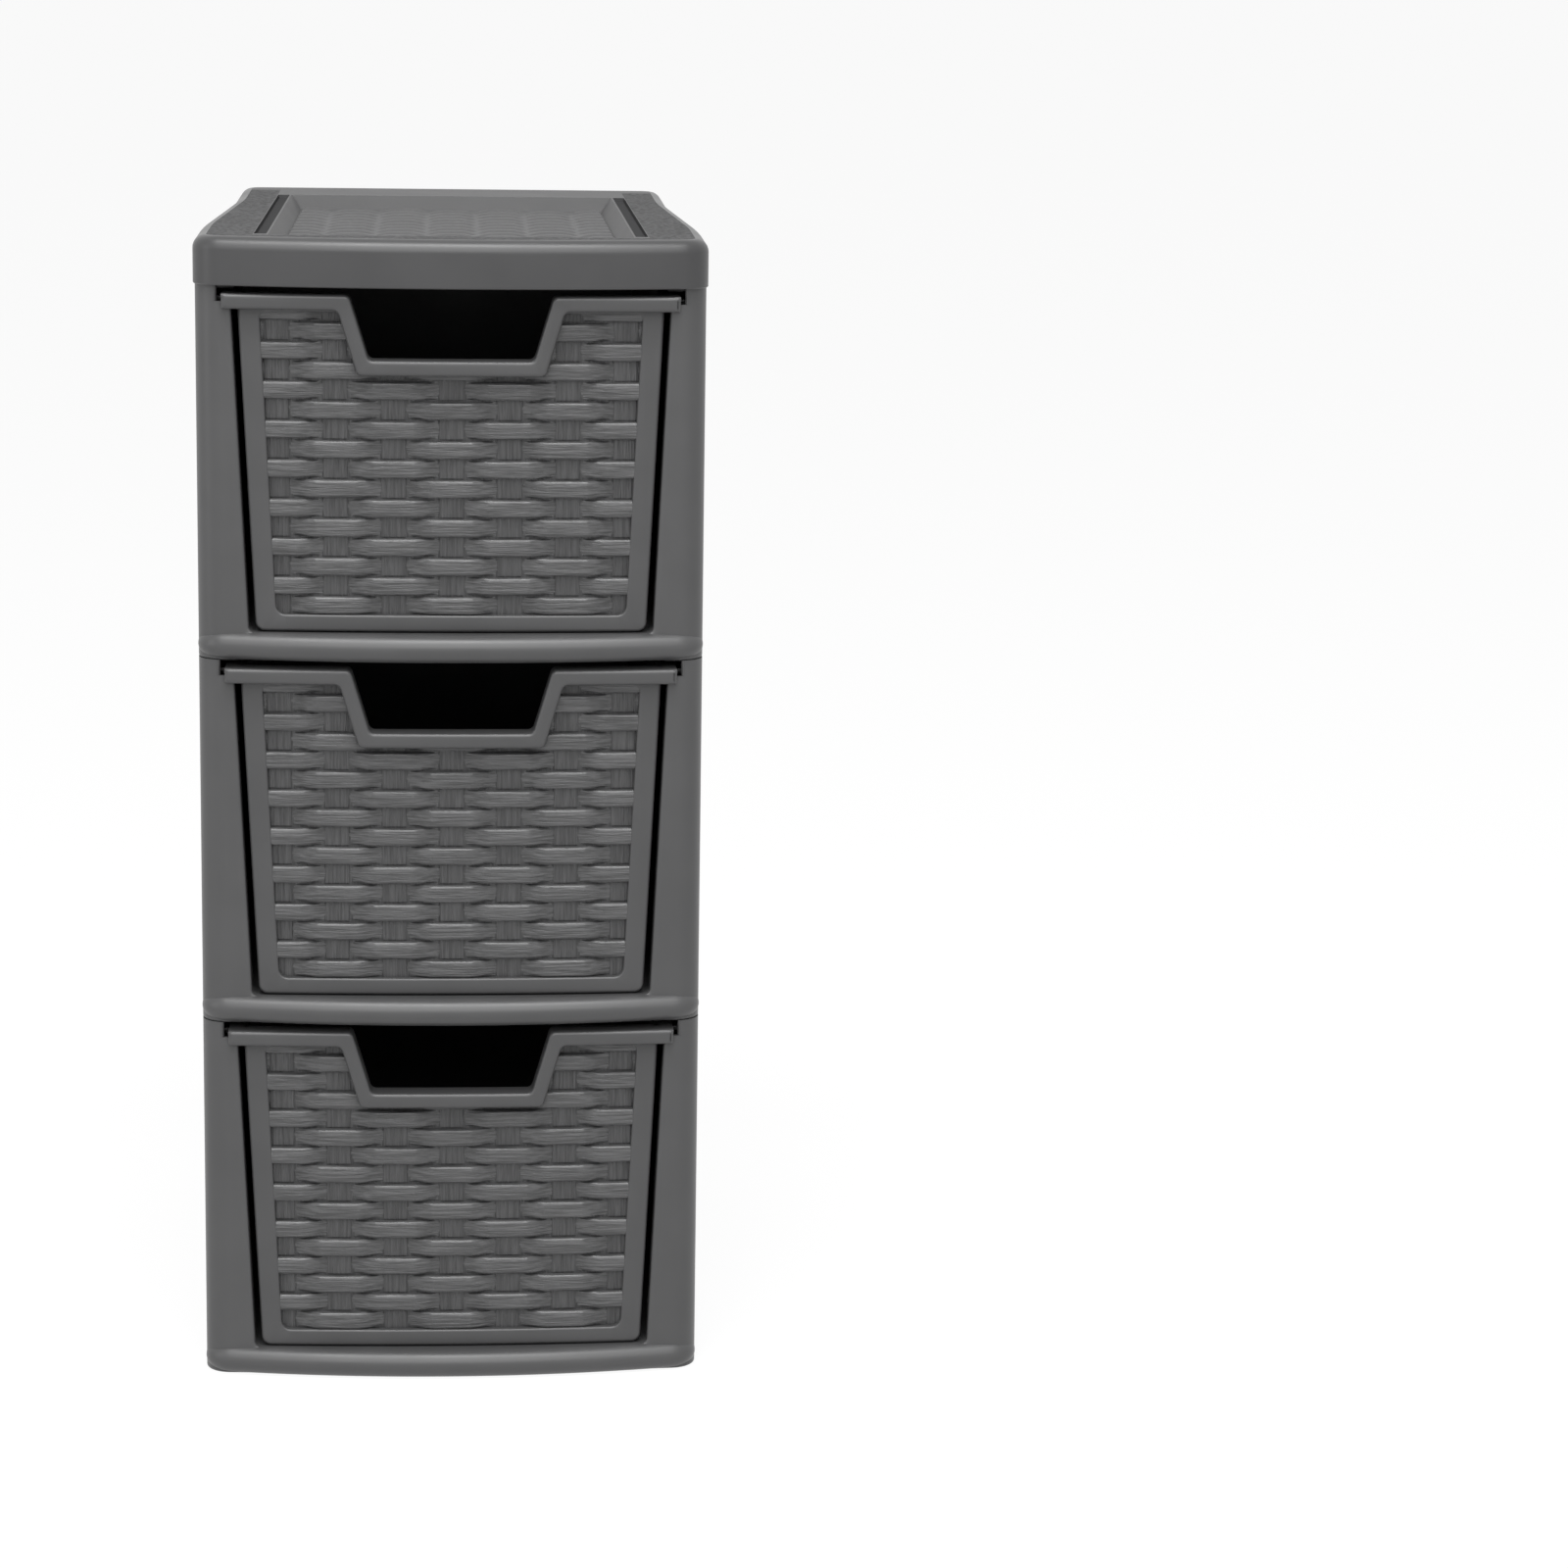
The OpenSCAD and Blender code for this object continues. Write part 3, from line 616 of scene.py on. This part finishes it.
def tub(bm, z_off):
    """A drawer behind its front: a channel of floor and sides, closed by a back plate."""
    start_y = FRONT_Y + RIM_SETBACK + FACE_T + RIM_BOW - TUB_LAP
    inner_back_y = DRAWER_BACK_Y - DRAWER_WALL
    outer = drawer_outline(0, RIM_TOP_Z)
    inner = drawer_outline(DRAWER_WALL, RIM_TOP_Z, DRAWER_CORNER_R - DRAWER_WALL)
    tight = drawer_outline(TUB_EDGE, RIM_TOP_Z, DRAWER_CORNER_R - TUB_EDGE)
    channel = [outer[-1], *outer[:-1]] + [inner[-1], *inner[:-1]][::-1]
    back = [(outer, inner_back_y), (outer, DRAWER_BACK_Y - TUB_EDGE), (tight, DRAWER_BACK_Y)]
    for rings in ([(channel, start_y), (channel, inner_back_y + SINK)], back):
        made = add_rings(bm, [[(x, y, z + z_off) for x, z in ring] for ring, y in rings])
        bm.faces.new(made[0])
        bm.faces.new(made[-1])


def drawer(tier, node, body, mats):
    """A drawer in three pieces: the shell that stands in for the CAD node, its rim and its weave."""
    z_off = tier * TIER_PITCH
    outline = frame_outline()
    near = 1 * MM
    inner = [i for i, (x, z) in enumerate(outline)
             if abs(x) < panel_half(z) + near and z > PANEL_FOOT_Z - near]
    bm = bent_plate(outline, inner, RIM_PROUD, RIM_PROUD + PANEL_RECESS + SINK, z_off, FRAME_EDGE_R)
    merge(bm, bent_plate(front_wall_outline(), [], RIM_PROUD + PANEL_RECESS, FACE_T, z_off, 0))
    tub(bm, z_off)
    flange_y = FRONT_Y + RIM_SETBACK + RIM_BOW
    flange_z = z_off + FLANGE_Z
    for side in (1, -1):
        x0, x1 = side * (DRAWER_TOP_HALF - DRAWER_WALL), side * RIM_HALF
        flange = [(x0, flange_y + 2 * MM), (x1, flange_y), (x1, DRAWER_BACK_Y), (x0, DRAWER_BACK_Y)]
        add_prism(bm, flange, flange_z, z_off + RIM_TOP_Z - HAIR)
        hook = rectangle(x0, side * OPEN_TOP_HALF, DRAWER_BACK_Y - STOP_SIZE, DRAWER_BACK_Y - 2 * HAIR)
        add_prism(bm, hook, flange_z - STOP_SIZE, flange_z + 1 * MM)
    shell = make_object(node + "_shell", bm, body, [mats["drawer"]])
    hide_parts(node)
    rim = bent_plate(rim_outline(), [], 0, FACE_T, z_off, RIM_EDGE_R)
    make_object(node + "_rim", rim, body, [mats["drawer"]])
    weave_panel(node + "_weave", tier, body, [mats["row"], mats["stake"]])


def frame_outline():
    """Plain frame round the woven panel: the drawer's outline less the panel and the cut-out."""
    side = RIM_H / 2 * math.sqrt(1 + CUT_SLOPE ** 2)
    top_z = RIM_TOP_Z - 2 * MM
    top_half = DRAWER_FOOT_HALF + LEAN * (top_z - DRAWER_FOOT_Z)
    right = [(DRAWER_FOOT_HALF, DRAWER_FOOT_Z), (top_half, top_z), (cut_half(top_z) + side, top_z),
             (cut_half(PANEL_TOP_Z) + side, PANEL_TOP_Z), (panel_half(PANEL_TOP_Z), PANEL_TOP_Z),
             (panel_half(PANEL_FOOT_Z), PANEL_FOOT_Z)]
    left = [(-x, z) for x, z in reversed(right)]
    r = [DRAWER_CORNER_R, 0, 0, 0, CUT_R, DRAWER_CORNER_R]
    return rounded(right + left, r + r[::-1])


def front_wall_outline():
    """Front wall of a drawer with the finger cut-out taken out of its top."""
    mid = RIM_H / 2
    foot_z = CUT_Z - mid
    side = mid * math.sqrt(1 + CUT_SLOPE ** 2)
    top_z = RIM_TOP_Z - 1 * MM
    half = DRAWER_TOP_HALF - DRAWER_WALL / 2
    foot_half = DRAWER_FOOT_HALF - DRAWER_WALL / 2
    lift = 1 * MM
    wall_foot_z = DRAWER_FOOT_Z + lift
    right = [(foot_half, wall_foot_z), (half, top_z), (cut_half(top_z) + side, top_z),
             (cut_half(foot_z) + side, foot_z)]
    left = [(-x, z) for x, z in reversed(right)]
    r = [DRAWER_CORNER_R - lift, 0, 0, 0]
    return rounded(right + left, r + r[::-1])


# ---------------------------------------------------------------- housings

def wall_section(half_x, flange):
    """Closed plan loop of the case walls, open at the front between -half_x and half_x.

    A flange is a return that runs back from the opening's edge, inside the wall.
    """
    first = -math.pi / 2 + math.asin(half_x / (STILE_PLAN.arc_r - WALL_STEP))
    pts, nrm = STILE_PLAN.half(front_steps=8, first_a=first)
    outer = pts - nrm * WALL_STEP
    inner = pts - nrm * (WALL_STEP + WALL)
    front_y = outer[2][1]
    end_y = FRONT_Y + STILE_SETBACK + STILE_BOW + RETURN_DEPTH
    corner = np.array([half_x, front_y])
    edge = corner_arc(corner + (0, 1), corner, corner + (1, 0), STILE_EDGE_R)
    front = pts[:, 1] < end_y
    steps = LEAST_GAP * np.arange(front.sum())
    outer[front, 0] = np.maximum(outer[front, 0], half_x + STILE_EDGE_R + steps)
    inner[front, 0] = np.maximum(inner[front, 0], half_x + (RETURN_T if flange else 0) + steps)
    if flange:
        back = [np.array([half_x + RETURN_T, end_y]), np.array([half_x, end_y])]
        inner_start = [np.array([half_x + RETURN_T, inner[2][1]])]
    else:
        back = [np.array([half_x, inner[1][1]])]
        inner_start = []
    right_out = np.array(edge + list(outer[2:]))
    right_in = np.array(list(inner[3:][::-1]) + inner_start + back)
    mirror = np.array([-1, 1])
    return np.vstack([right_out[:-1], (right_out * mirror)[::-1], (right_in * mirror)[::-1], right_in[1:]])


def wall_loop(z, z_lines, halves, flange):
    """Loop of the case walls at height z, with the opening's rounded foot corners."""
    t = (z - z_lines[0]) / (z_lines[-1] - z_lines[0])
    low = np.clip(OPEN_FOOT_R - (z - BASE_H), 0, OPEN_FOOT_R) if flange else 0
    turned_in = OPEN_FOOT_R - math.sqrt(OPEN_FOOT_R ** 2 - low ** 2)
    return wall_section(halves[0] + t * (halves[1] - halves[0]) - turned_in, flange)


def housing_walls(bm, z_off):
    """Walls up to the slots of the drawer's rim, with the flanges, and the walls above them."""
    foot_z = BASE_H - 0.5 * MM
    turn = [foot_z] + [BASE_H + OPEN_FOOT_R * (1 - math.cos(a)) for a in np.linspace(0, math.pi / 2, 6)]
    lower = (turn + list(np.linspace(BASE_H, SLOT_Z, 8)[1:]), (OPEN_FOOT_HALF, OPEN_TOP_HALF), True)
    upper = ([SLOT_Z, TIER_PITCH], (SLOT_HALF, SLOT_HALF), False)
    for z_lines, halves, flange in (lower, upper):
        rings = [[(x, y, z + z_off) for x, y in wall_loop(z, z_lines, halves, flange)] for z in z_lines]
        made = add_rings(bm, rings)
        fill_level(bm, made[0])
        fill_level(bm, made[-1])


def base_shell(bm, z_off):
    """Foot of the outer walls, the floor's top and the hollow below it."""
    pts, nrm = STILE_PLAN.loop(front_steps=40, side_steps=30)
    r = FOOT_EDGE_R
    seam_z = BASE_H - 0.5 * MM
    seam_in = WALL_STEP + 1 * MM
    section = [(WALL_STEP + WALL, BASE_H - FLOOR_T), (WALL_STEP + WALL, 0)]
    section += [(WALL_STEP + r - r * math.cos(a), r + r * math.sin(a))
                for a in np.linspace(-math.pi / 2, 0, 7)]
    section += [(WALL_STEP, seam_z), (seam_in, seam_z), (seam_in, BASE_H)]
    made = add_rings(bm, [[(*p, z + z_off) for p in pts - nrm * inset] for inset, z in section])
    bm.faces.new(made[0])
    bm.faces.new(made[-1])


def front_lip(bm, z_off):
    """Half-round lip along the front, which runs round the corners and sinks into the side walls."""
    half_pts, half_nrm = BASE_PLAN.half(front_steps=48, side_steps=60)
    near = half_pts[:, 1] < FRONT_Y + LIP_END
    flip = np.array([-1, 1])
    pts = np.vstack([(half_pts[near] * flip)[:0:-1], half_pts[near]])
    nrm = np.vstack([(half_nrm[near] * flip)[:0:-1], half_nrm[near]])
    along = pts[:, 1] - (FRONT_Y + FRONT_BOW)
    sink = (WALL_STEP + 1 * MM) * smooth(along / (LIP_END - FRONT_BOW))[:, None]
    depth = STILE_SETBACK + WALL_STEP + WALL
    section = [(depth, 0)]
    for a in np.linspace(-math.pi / 2, math.pi / 2, 29):
        section.append((LIP_R - LIP_R * math.cos(a), LIP_R + LIP_R * math.sin(a)))
    section.append((depth, BASE_H - HAIR))
    rings = []
    for inset, z in section:
        reach = np.minimum(inset, STILE_CORNER_R - 1 * MM)
        rings.append([(x, y, z + z_off) for x, y in pts - nrm * (reach + sink)])
    made = add_rings(bm, rings, close_ring=False, close_sweep=True)
    for end in (0, -1):
        bm.faces.new([ring[end] for ring in made])


def side_bar(bm, inner, outer_inset, y0, y1, z0, z1):
    """Bars along both side walls, from half-width inner out to outer_inset inside the case's side.

    Without inner a bar is as thick as a wall.
    """
    lines = np.linspace(y0, y1, 14)
    outer = [(float(side_half(y)) - outer_inset, y) for y in lines]
    inside = [(inner if inner else x - WALL, y) for x, y in reversed(outer)]
    for side in (1, -1):
        add_prism(bm, [(side * x, y) for x, y in outer + inside], z0, z1)


def housing(tier, node, mats):
    """A housing: its walls, foot, lip and ribs, and the ledges, shelves, rails and stops inside."""
    z_off = tier * TIER_PITCH
    bm = bmesh.new()
    housing_walls(bm, z_off)
    base_shell(bm, z_off)
    front_lip(bm, z_off)
    floor_foot = z_off + BASE_H - FLOOR_T
    for i in range(-2, 3):
        x = i * RIB_PITCH
        rib_back = BACK_CORNER_R if abs(i) == 2 else WALL
        rib = rectangle(x - RIB_T / 2, x + RIB_T / 2, FRONT_Y + RIB_SETBACK, BACK_Y - rib_back)
        add_prism(bm, rib, floor_foot - RIB_H, floor_foot + FLOOR_T / 2)
    for j in range(-2, 4):
        y = j * RIB_PITCH
        half = float(side_half(y)) - WALL
        rib = rectangle(-half, half, y - RIB_T / 2, y + RIB_T / 2)
        add_prism(bm, rib, floor_foot - RIB_H, floor_foot + FLOOR_T / 2)
    mid_wall = WALL_STEP + WALL / 2
    inside_wall = WALL_STEP + WALL + FIT_GAP
    bar_y = FRONT_Y + STILE_SETBACK + STILE_BOW + STILE_CORNER_R
    back_y = BACK_Y - BACK_CORNER_R
    ledge_half = OPEN_TOP_HALF + FIT_GAP
    ledge_z = z_off + LEDGE_TOP_Z
    top_z = z_off + TIER_PITCH
    side_bar(bm, ledge_half, mid_wall, bar_y, back_y, ledge_z - LEDGE_T, ledge_z)
    side_bar(bm, HALF_W - SHELF_W, mid_wall, bar_y, back_y, top_z - SHELF_T, top_z)
    side_bar(bm, None, inside_wall, bar_y, BACK_Y - SHELF_W, top_z - SHELF_T / 2, top_z + RAIL_H)
    stop_y = FRONT_Y + STOP_SETBACK
    for side in (1, -1):
        x0, x1 = side * (ledge_half - STOP_SIZE / 4), side * (ledge_half + STOP_SIZE / 4)
        stop = rectangle(x0, x1, stop_y, stop_y + STOP_SIZE)
        add_prism(bm, stop, ledge_z - STOP_SIZE, ledge_z - SINK)
    shell = make_object(node + "_shell", bm, "tower", [mats["case"]])
    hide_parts(node)


# ---------------------------------------------------------------- cover

def tray_half(y):
    """Half-width of the tray's edge at y."""
    return TRAY_W / 2 - (y - FRONT_Y) / CASE_D * TRAY_TAPER


def cover_lines(edge, outer):
    """X of the grid lines from the middle to the cover's edge: tray floor, wall, ridge, groove, band."""
    foot = edge - TRAY_LEAN
    ridge = edge + RIDGE_W
    groove = ridge + GROOVE_W
    soft = GROOVE_EDGE
    return np.concatenate([
        np.linspace(0, foot - soft, 84),
        foot + TRAY_LEAN * np.array([0, 0.08, 0.3, 0.6, 0.85, 0.95, 1]),
        [edge + 0.3 * RIDGE_W, edge + 0.7 * RIDGE_W, ridge, ridge + soft],
        np.linspace(ridge + 2 * soft, groove - 2 * soft, 6),
        [groove - soft, groove, groove + soft],
        np.linspace(groove + 2 * soft, outer, 30),
    ])


def cover_top(mats):
    """Top of the cover: pebbled bands, smooth grooves with a darker grey painted in as shade, and the tray
    with its woven floor.
    """
    half_pts, half_nrm = BASE_PLAN.half(front_steps=40, side_steps=60)
    half_pts = half_pts - half_nrm * (COVER_EDGE_R - COVER_OVERHANG)
    front_y, back_y = half_pts[0, 1], half_pts[-1, 1]
    rows = int((TRAY_BACK_Y - TRAY_LEAN - TRAY_FLOOR_Y) / ROW_PITCH)
    slat = np.array([0.05, 0.07, 0.1, 0.2, 0.5, 0.8, 0.9, 0.93, 0.95]) * ROW_PITCH
    near = 0.5 * MM
    y_lines = np.sort(np.concatenate([
        np.arange(front_y, TRAY_FRONT_Y - near, FRONT_GRID),
        TRAY_FRONT_Y + TRAY_LEAN * np.array([0, 0.05, 0.15, 0.4, 0.7, 0.92]),
        *[TRAY_FLOOR_Y + k * ROW_PITCH + slat for k in range(rows)],
        TRAY_BACK_Y - TRAY_LEAN * np.array([1.05, 0.92, 0.7, 0.4, 0.15, 0.05, 0]),
        np.arange(TRAY_BACK_Y + near, back_y, BACK_GRID),
        [back_y],
    ]))
    bm = bmesh.new()
    grid = []
    for y in y_lines:
        outer = outline_half(half_pts, y)
        x = cover_lines(min(tray_half(y), outer - BAND_LEAST), outer)
        x = np.concatenate([-x[:0:-1], x])
        grid.append([bm.verts.new((a, y, b)) for a, b in zip(x, cover_height(x, np.full_like(x, y)))])
    for front, back in zip(grid, grid[1:]):
        for c in range(len(front) - 1):
            face = bm.faces.new((front[c], front[c + 1], back[c + 1], back[c]))
            centre = face.calc_center_median()
            # faces in a groove take the darker grey that is painted shade
            face.material_index = 2 if in_groove(centre.x, centre.y) else is_pebbled(centre.x, centre.y)
    finishes_and_painted_shade = [mats["tray"], mats["pebble"], mats["groove"]]
    return make_object("cover_top", bm, "tower", finishes_and_painted_shade, sharp_deg=40)


def outline_half(half_pts, y):
    """Half-width at y of a convex outline given by its right half."""
    best = 0.0
    for a, b in zip(half_pts[:-1], half_pts[1:]):
        lo, hi = sorted((a[1], b[1]))
        if lo - 1e-9 <= y <= hi + 1e-9:
            t = 0.5 if hi - lo < 1e-9 else (y - a[1]) / (b[1] - a[1])
            best = max(best, a[0] + t * (b[0] - a[0]))
    return best


def is_pebbled(x, y):
    """Whether x and y lie in the bands at the tray's front and sides, which end behind the tray."""
    in_side = abs(x) > tray_half(y) + RIDGE_W + GROOVE_W + 0.5 * MM
    in_front = y < TRAY_FRONT_Y - 1 * MM
    return (in_side and y < TRAY_BACK_Y + PEBBLE_BACK) or in_front


def in_groove(x, y):
    """Whether x and y lie in a groove beside the tray, where the darker grey of painted shade goes."""
    along = TRAY_FLOOR_Y < y < TRAY_BACK_Y
    return along and abs(abs(x) - tray_half(y) - RIDGE_W - GROOVE_W / 2) < GROOVE_W / 2


def cover_height(x, y):
    """Z of the cover's top at x and y."""
    edge = tray_half(y)
    inside = np.minimum(edge - np.abs(x), np.minimum(y - TRAY_FRONT_Y, TRAY_BACK_Y - y))
    depth = TRAY_DEPTH * np.clip(inside / TRAY_LEAN, 0, 1)
    k = np.floor((y - TRAY_FLOOR_Y) / ROW_PITCH)
    across = ((y - TRAY_FLOOR_Y) / ROW_PITCH - k) * 2 - 1
    i = np.floor(x / CELL_W + 0.5)
    off = (x - i * CELL_W) / (CELL_W / 2)
    raised = (i + k) % 2 == 0
    round_over = np.sqrt(np.clip(1 - (np.abs(across) / 0.92) ** 6, 0, 1))
    relief = CELL_RELIEF * np.clip(1 - np.abs(off) ** 3, 0, 1) * round_over * raised
    on_floor = smooth((inside - TRAY_LEAN) / (1 * MM))
    from_mid = np.abs(np.abs(x) - (edge + RIDGE_W + GROOVE_W / 2))
    from_end = np.minimum(y - TRAY_FLOOR_Y, TRAY_BACK_Y - y)
    groove = GROOVE_DEPTH * smooth((GROOVE_W / 2 - from_mid) / GROOVE_EDGE) * smooth(from_end / GROOVE_END)
    return COVER_TOP_Z - depth + relief * on_floor - groove


def cover_skirt(mats):
    """Skirt and rounded top edge of the cover, with its underside."""
    pts, nrm = BASE_PLAN.loop(front_steps=40, side_steps=40)
    arc_inset = COVER_EDGE_R - COVER_OVERHANG
    arc_z = COVER_H - COVER_EDGE_R
    wall_inset = COVER_WALL - COVER_OVERHANG
    chamfer = 0.5 * MM
    section = [(arc_inset, COVER_H)]
    section += [(arc_inset - COVER_EDGE_R * math.cos(a), arc_z + COVER_EDGE_R * math.sin(a))
                for a in np.linspace(math.pi / 2, 0, 13)[1:]]
    section += [(-COVER_OVERHANG, chamfer), (-COVER_OVERHANG + chamfer, 0), (wall_inset, 0),
                (wall_inset, arc_z), (COVER_EDGE_R, COVER_H - COVER_WALL)]
    rings = [[(*p, COVER_Z + z) for p in pts - nrm * inset] for inset, z in section]
    bm = bmesh.new()
    made = add_rings(bm, rings)
    pan_half = TRAY_W / 2 + RIDGE_W + GROOVE_W + COVER_WALL
    pan = rectangle(-pan_half, pan_half, TRAY_FRONT_Y - COVER_WALL, TRAY_BACK_Y + COVER_WALL)
    hole = [bm.verts.new((x, y, COVER_TOP_Z - COVER_WALL)) for x, y in pan]
    under = [bm.edges.get((a, b)) for a, b in zip(made[-1], made[-1][1:] + made[-1][:1])]
    under += [bm.edges.new((v, hole[i - 1])) for i, v in enumerate(hole)]
    bmesh.ops.triangle_fill(bm, use_beauty=True, use_dissolve=False, edges=under)
    add_prism(bm, pan, COVER_TOP_Z - TRAY_DEPTH - COVER_WALL, COVER_TOP_Z - TRAY_DEPTH - 0.5 * MM)
    skirt = make_object("cover_skirt", bm, "tower", [mats["cover"]])
    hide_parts("top_cover")


# ---------------------------------------------------------------- camera, light and floor

CAMERA_AT = (0, FRONT_Y - 2280.5 * MM, 796.9 * MM)
CAMERA_TURN = (78.3915, -0.862, -4.19)
CAMERA_LENS = 102.017
CAMERA_REACH = 200
WORLD_LIGHT = 0.3
FLOOR_GREY = 0.9
FLOOR_ROUGHNESS = 0.9
FLOOR_HALF = 60
FLOOR_GLOW = 0.88
GLOW_STRENGTH = 1.03
PANEL_POWER = 205
TOP_POWER = 26
LEFT_POWER = 6


def make_camera():
    """The photo's camera, as fitted to it with a pinhole model."""
    data = bpy.data.cameras.new("camera")
    data.sensor_width = 36
    data.lens = CAMERA_LENS
    data.clip_end = CAMERA_REACH
    cam = bpy.data.objects.new("camera", data)
    cam.location = CAMERA_AT
    cam.rotation_euler = [math.radians(a) for a in CAMERA_TURN]
    bpy.context.scene.collection.objects.link(cam)
    bpy.context.scene.camera = cam


def seen_ray(tree):
    """Socket that is 1 for rays from the camera and for mirrored or refracted ones."""
    path = tree.nodes.new("ShaderNodeLightPath")
    socket = path.outputs["Is Camera Ray"]
    for name in ("Is Glossy Ray", "Is Transmission Ray"):
        either = tree.nodes.new("ShaderNodeMath")
        either.operation = "MAXIMUM"
        tree.links.new(socket, either.inputs[0])
        tree.links.new(path.outputs[name], either.inputs[1])
        socket = either.outputs[0]
    return socket


def make_floor():
    """Pale floor that looks white to the camera and keeps the tower's shadow."""
    bm = bmesh.new()
    bmesh.ops.create_grid(bm, x_segments=1, y_segments=1, size=FLOOR_HALF)
    mesh = bpy.data.meshes.new("floor")
    bm.to_mesh(mesh)
    bm.free()
    floor = bpy.data.objects.new("floor", mesh)
    bpy.context.scene.collection.objects.link(floor)
    mat, bsdf = node_material("floor_pale", (FLOOR_GREY,) * 3, FLOOR_ROUGHNESS)
    tree = mat.node_tree
    glow = add_node(mat, "ShaderNodeEmission", Strength=GLOW_STRENGTH)
    share = add_node(mat, "ShaderNodeMath", operation="MULTIPLY")
    share.inputs[1].default_value = FLOOR_GLOW
    tree.links.new(seen_ray(tree), share.inputs[0])
    mix = add_node(mat, "ShaderNodeMixShader")
    tree.links.new(share.outputs[0], mix.inputs[0])
    tree.links.new(bsdf.outputs[0], mix.inputs[1])
    tree.links.new(glow.outputs[0], mix.inputs[2])
    tree.links.new(mix.outputs[0], tree.nodes["Material Output"].inputs["Surface"])
    mesh.materials.append(mat)


def make_world():
    """Weak even light, which looks white to the camera and in reflections."""
    world = bpy.data.worlds.new("world")
    bpy.context.scene.world = world
    world.use_nodes = True
    tree = world.node_tree
    soft = tree.nodes["Background"]
    soft.inputs["Color"].default_value = (1, 1, 1, 1)
    soft.inputs["Strength"].default_value = WORLD_LIGHT
    white = tree.nodes.new("ShaderNodeBackground")
    white.inputs["Color"].default_value = (1, 1, 1, 1)
    white.inputs["Strength"].default_value = 1
    mix = tree.nodes.new("ShaderNodeMixShader")
    tree.links.new(seen_ray(tree), mix.inputs[0])
    tree.links.new(soft.outputs[0], mix.inputs[1])
    tree.links.new(white.outputs[0], mix.inputs[2])
    tree.links.new(mix.outputs[0], tree.nodes["World Output"].inputs["Surface"])


def area_light(name, location, target, size, power):
    """Rectangular lamp at location, turned to target and hidden from the camera."""
    data = bpy.data.lights.new(name, "AREA")
    data.shape = "RECTANGLE"
    data.size, data.size_y = size
    data.energy = power
    lamp = bpy.data.objects.new(name, data)
    lamp.location = location
    lamp.visible_camera = False
    lamp.rotation_euler = (Vector(target) - Vector(location)).to_track_quat("-Z", "Y").to_euler()
    bpy.context.scene.collection.objects.link(lamp)


def make_lights():
    """A tall panel high in front, a small one nearly overhead, and a weak one at the left.

    Seen from the tower, the first reaches from 16 to 78 degrees up.
    """
    area_light("front_panel", (0, -3.0, 3.6), (0, 0, 0.4), (3.6, 5.2), PANEL_POWER)
    area_light("top_panel", (-0.1, -0.75, 2.5), (0, -0.1, 0.3), (1.3, 0.8), TOP_POWER)
    area_light("left", (-2.2, -1.0, 1.0), (0, 0, 0.3), (0.8, 1.6), LEFT_POWER)


# ---------------------------------------------------------------- build

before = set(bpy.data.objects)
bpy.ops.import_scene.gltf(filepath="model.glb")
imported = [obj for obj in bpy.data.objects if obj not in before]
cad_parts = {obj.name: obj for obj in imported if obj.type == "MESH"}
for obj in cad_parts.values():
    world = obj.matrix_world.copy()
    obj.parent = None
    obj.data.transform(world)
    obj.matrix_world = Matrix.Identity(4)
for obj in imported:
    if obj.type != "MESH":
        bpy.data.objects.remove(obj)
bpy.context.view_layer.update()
make_camera()
make_world()
make_lights()
make_floor()
mats = make_materials()

TIERS = (("lower", "bottom_drawer"), ("middle", "centre_drawer"), ("upper", "top_drawer"))
for tier, (name, drawer_body) in enumerate(TIERS):
    housing(tier, name + "_housing", mats)
    drawer(tier, name + "_drawer", drawer_body, mats)
cover_skirt(mats)
cover_top(mats)

scene = bpy.context.scene
scene.view_settings.view_transform = "Standard"
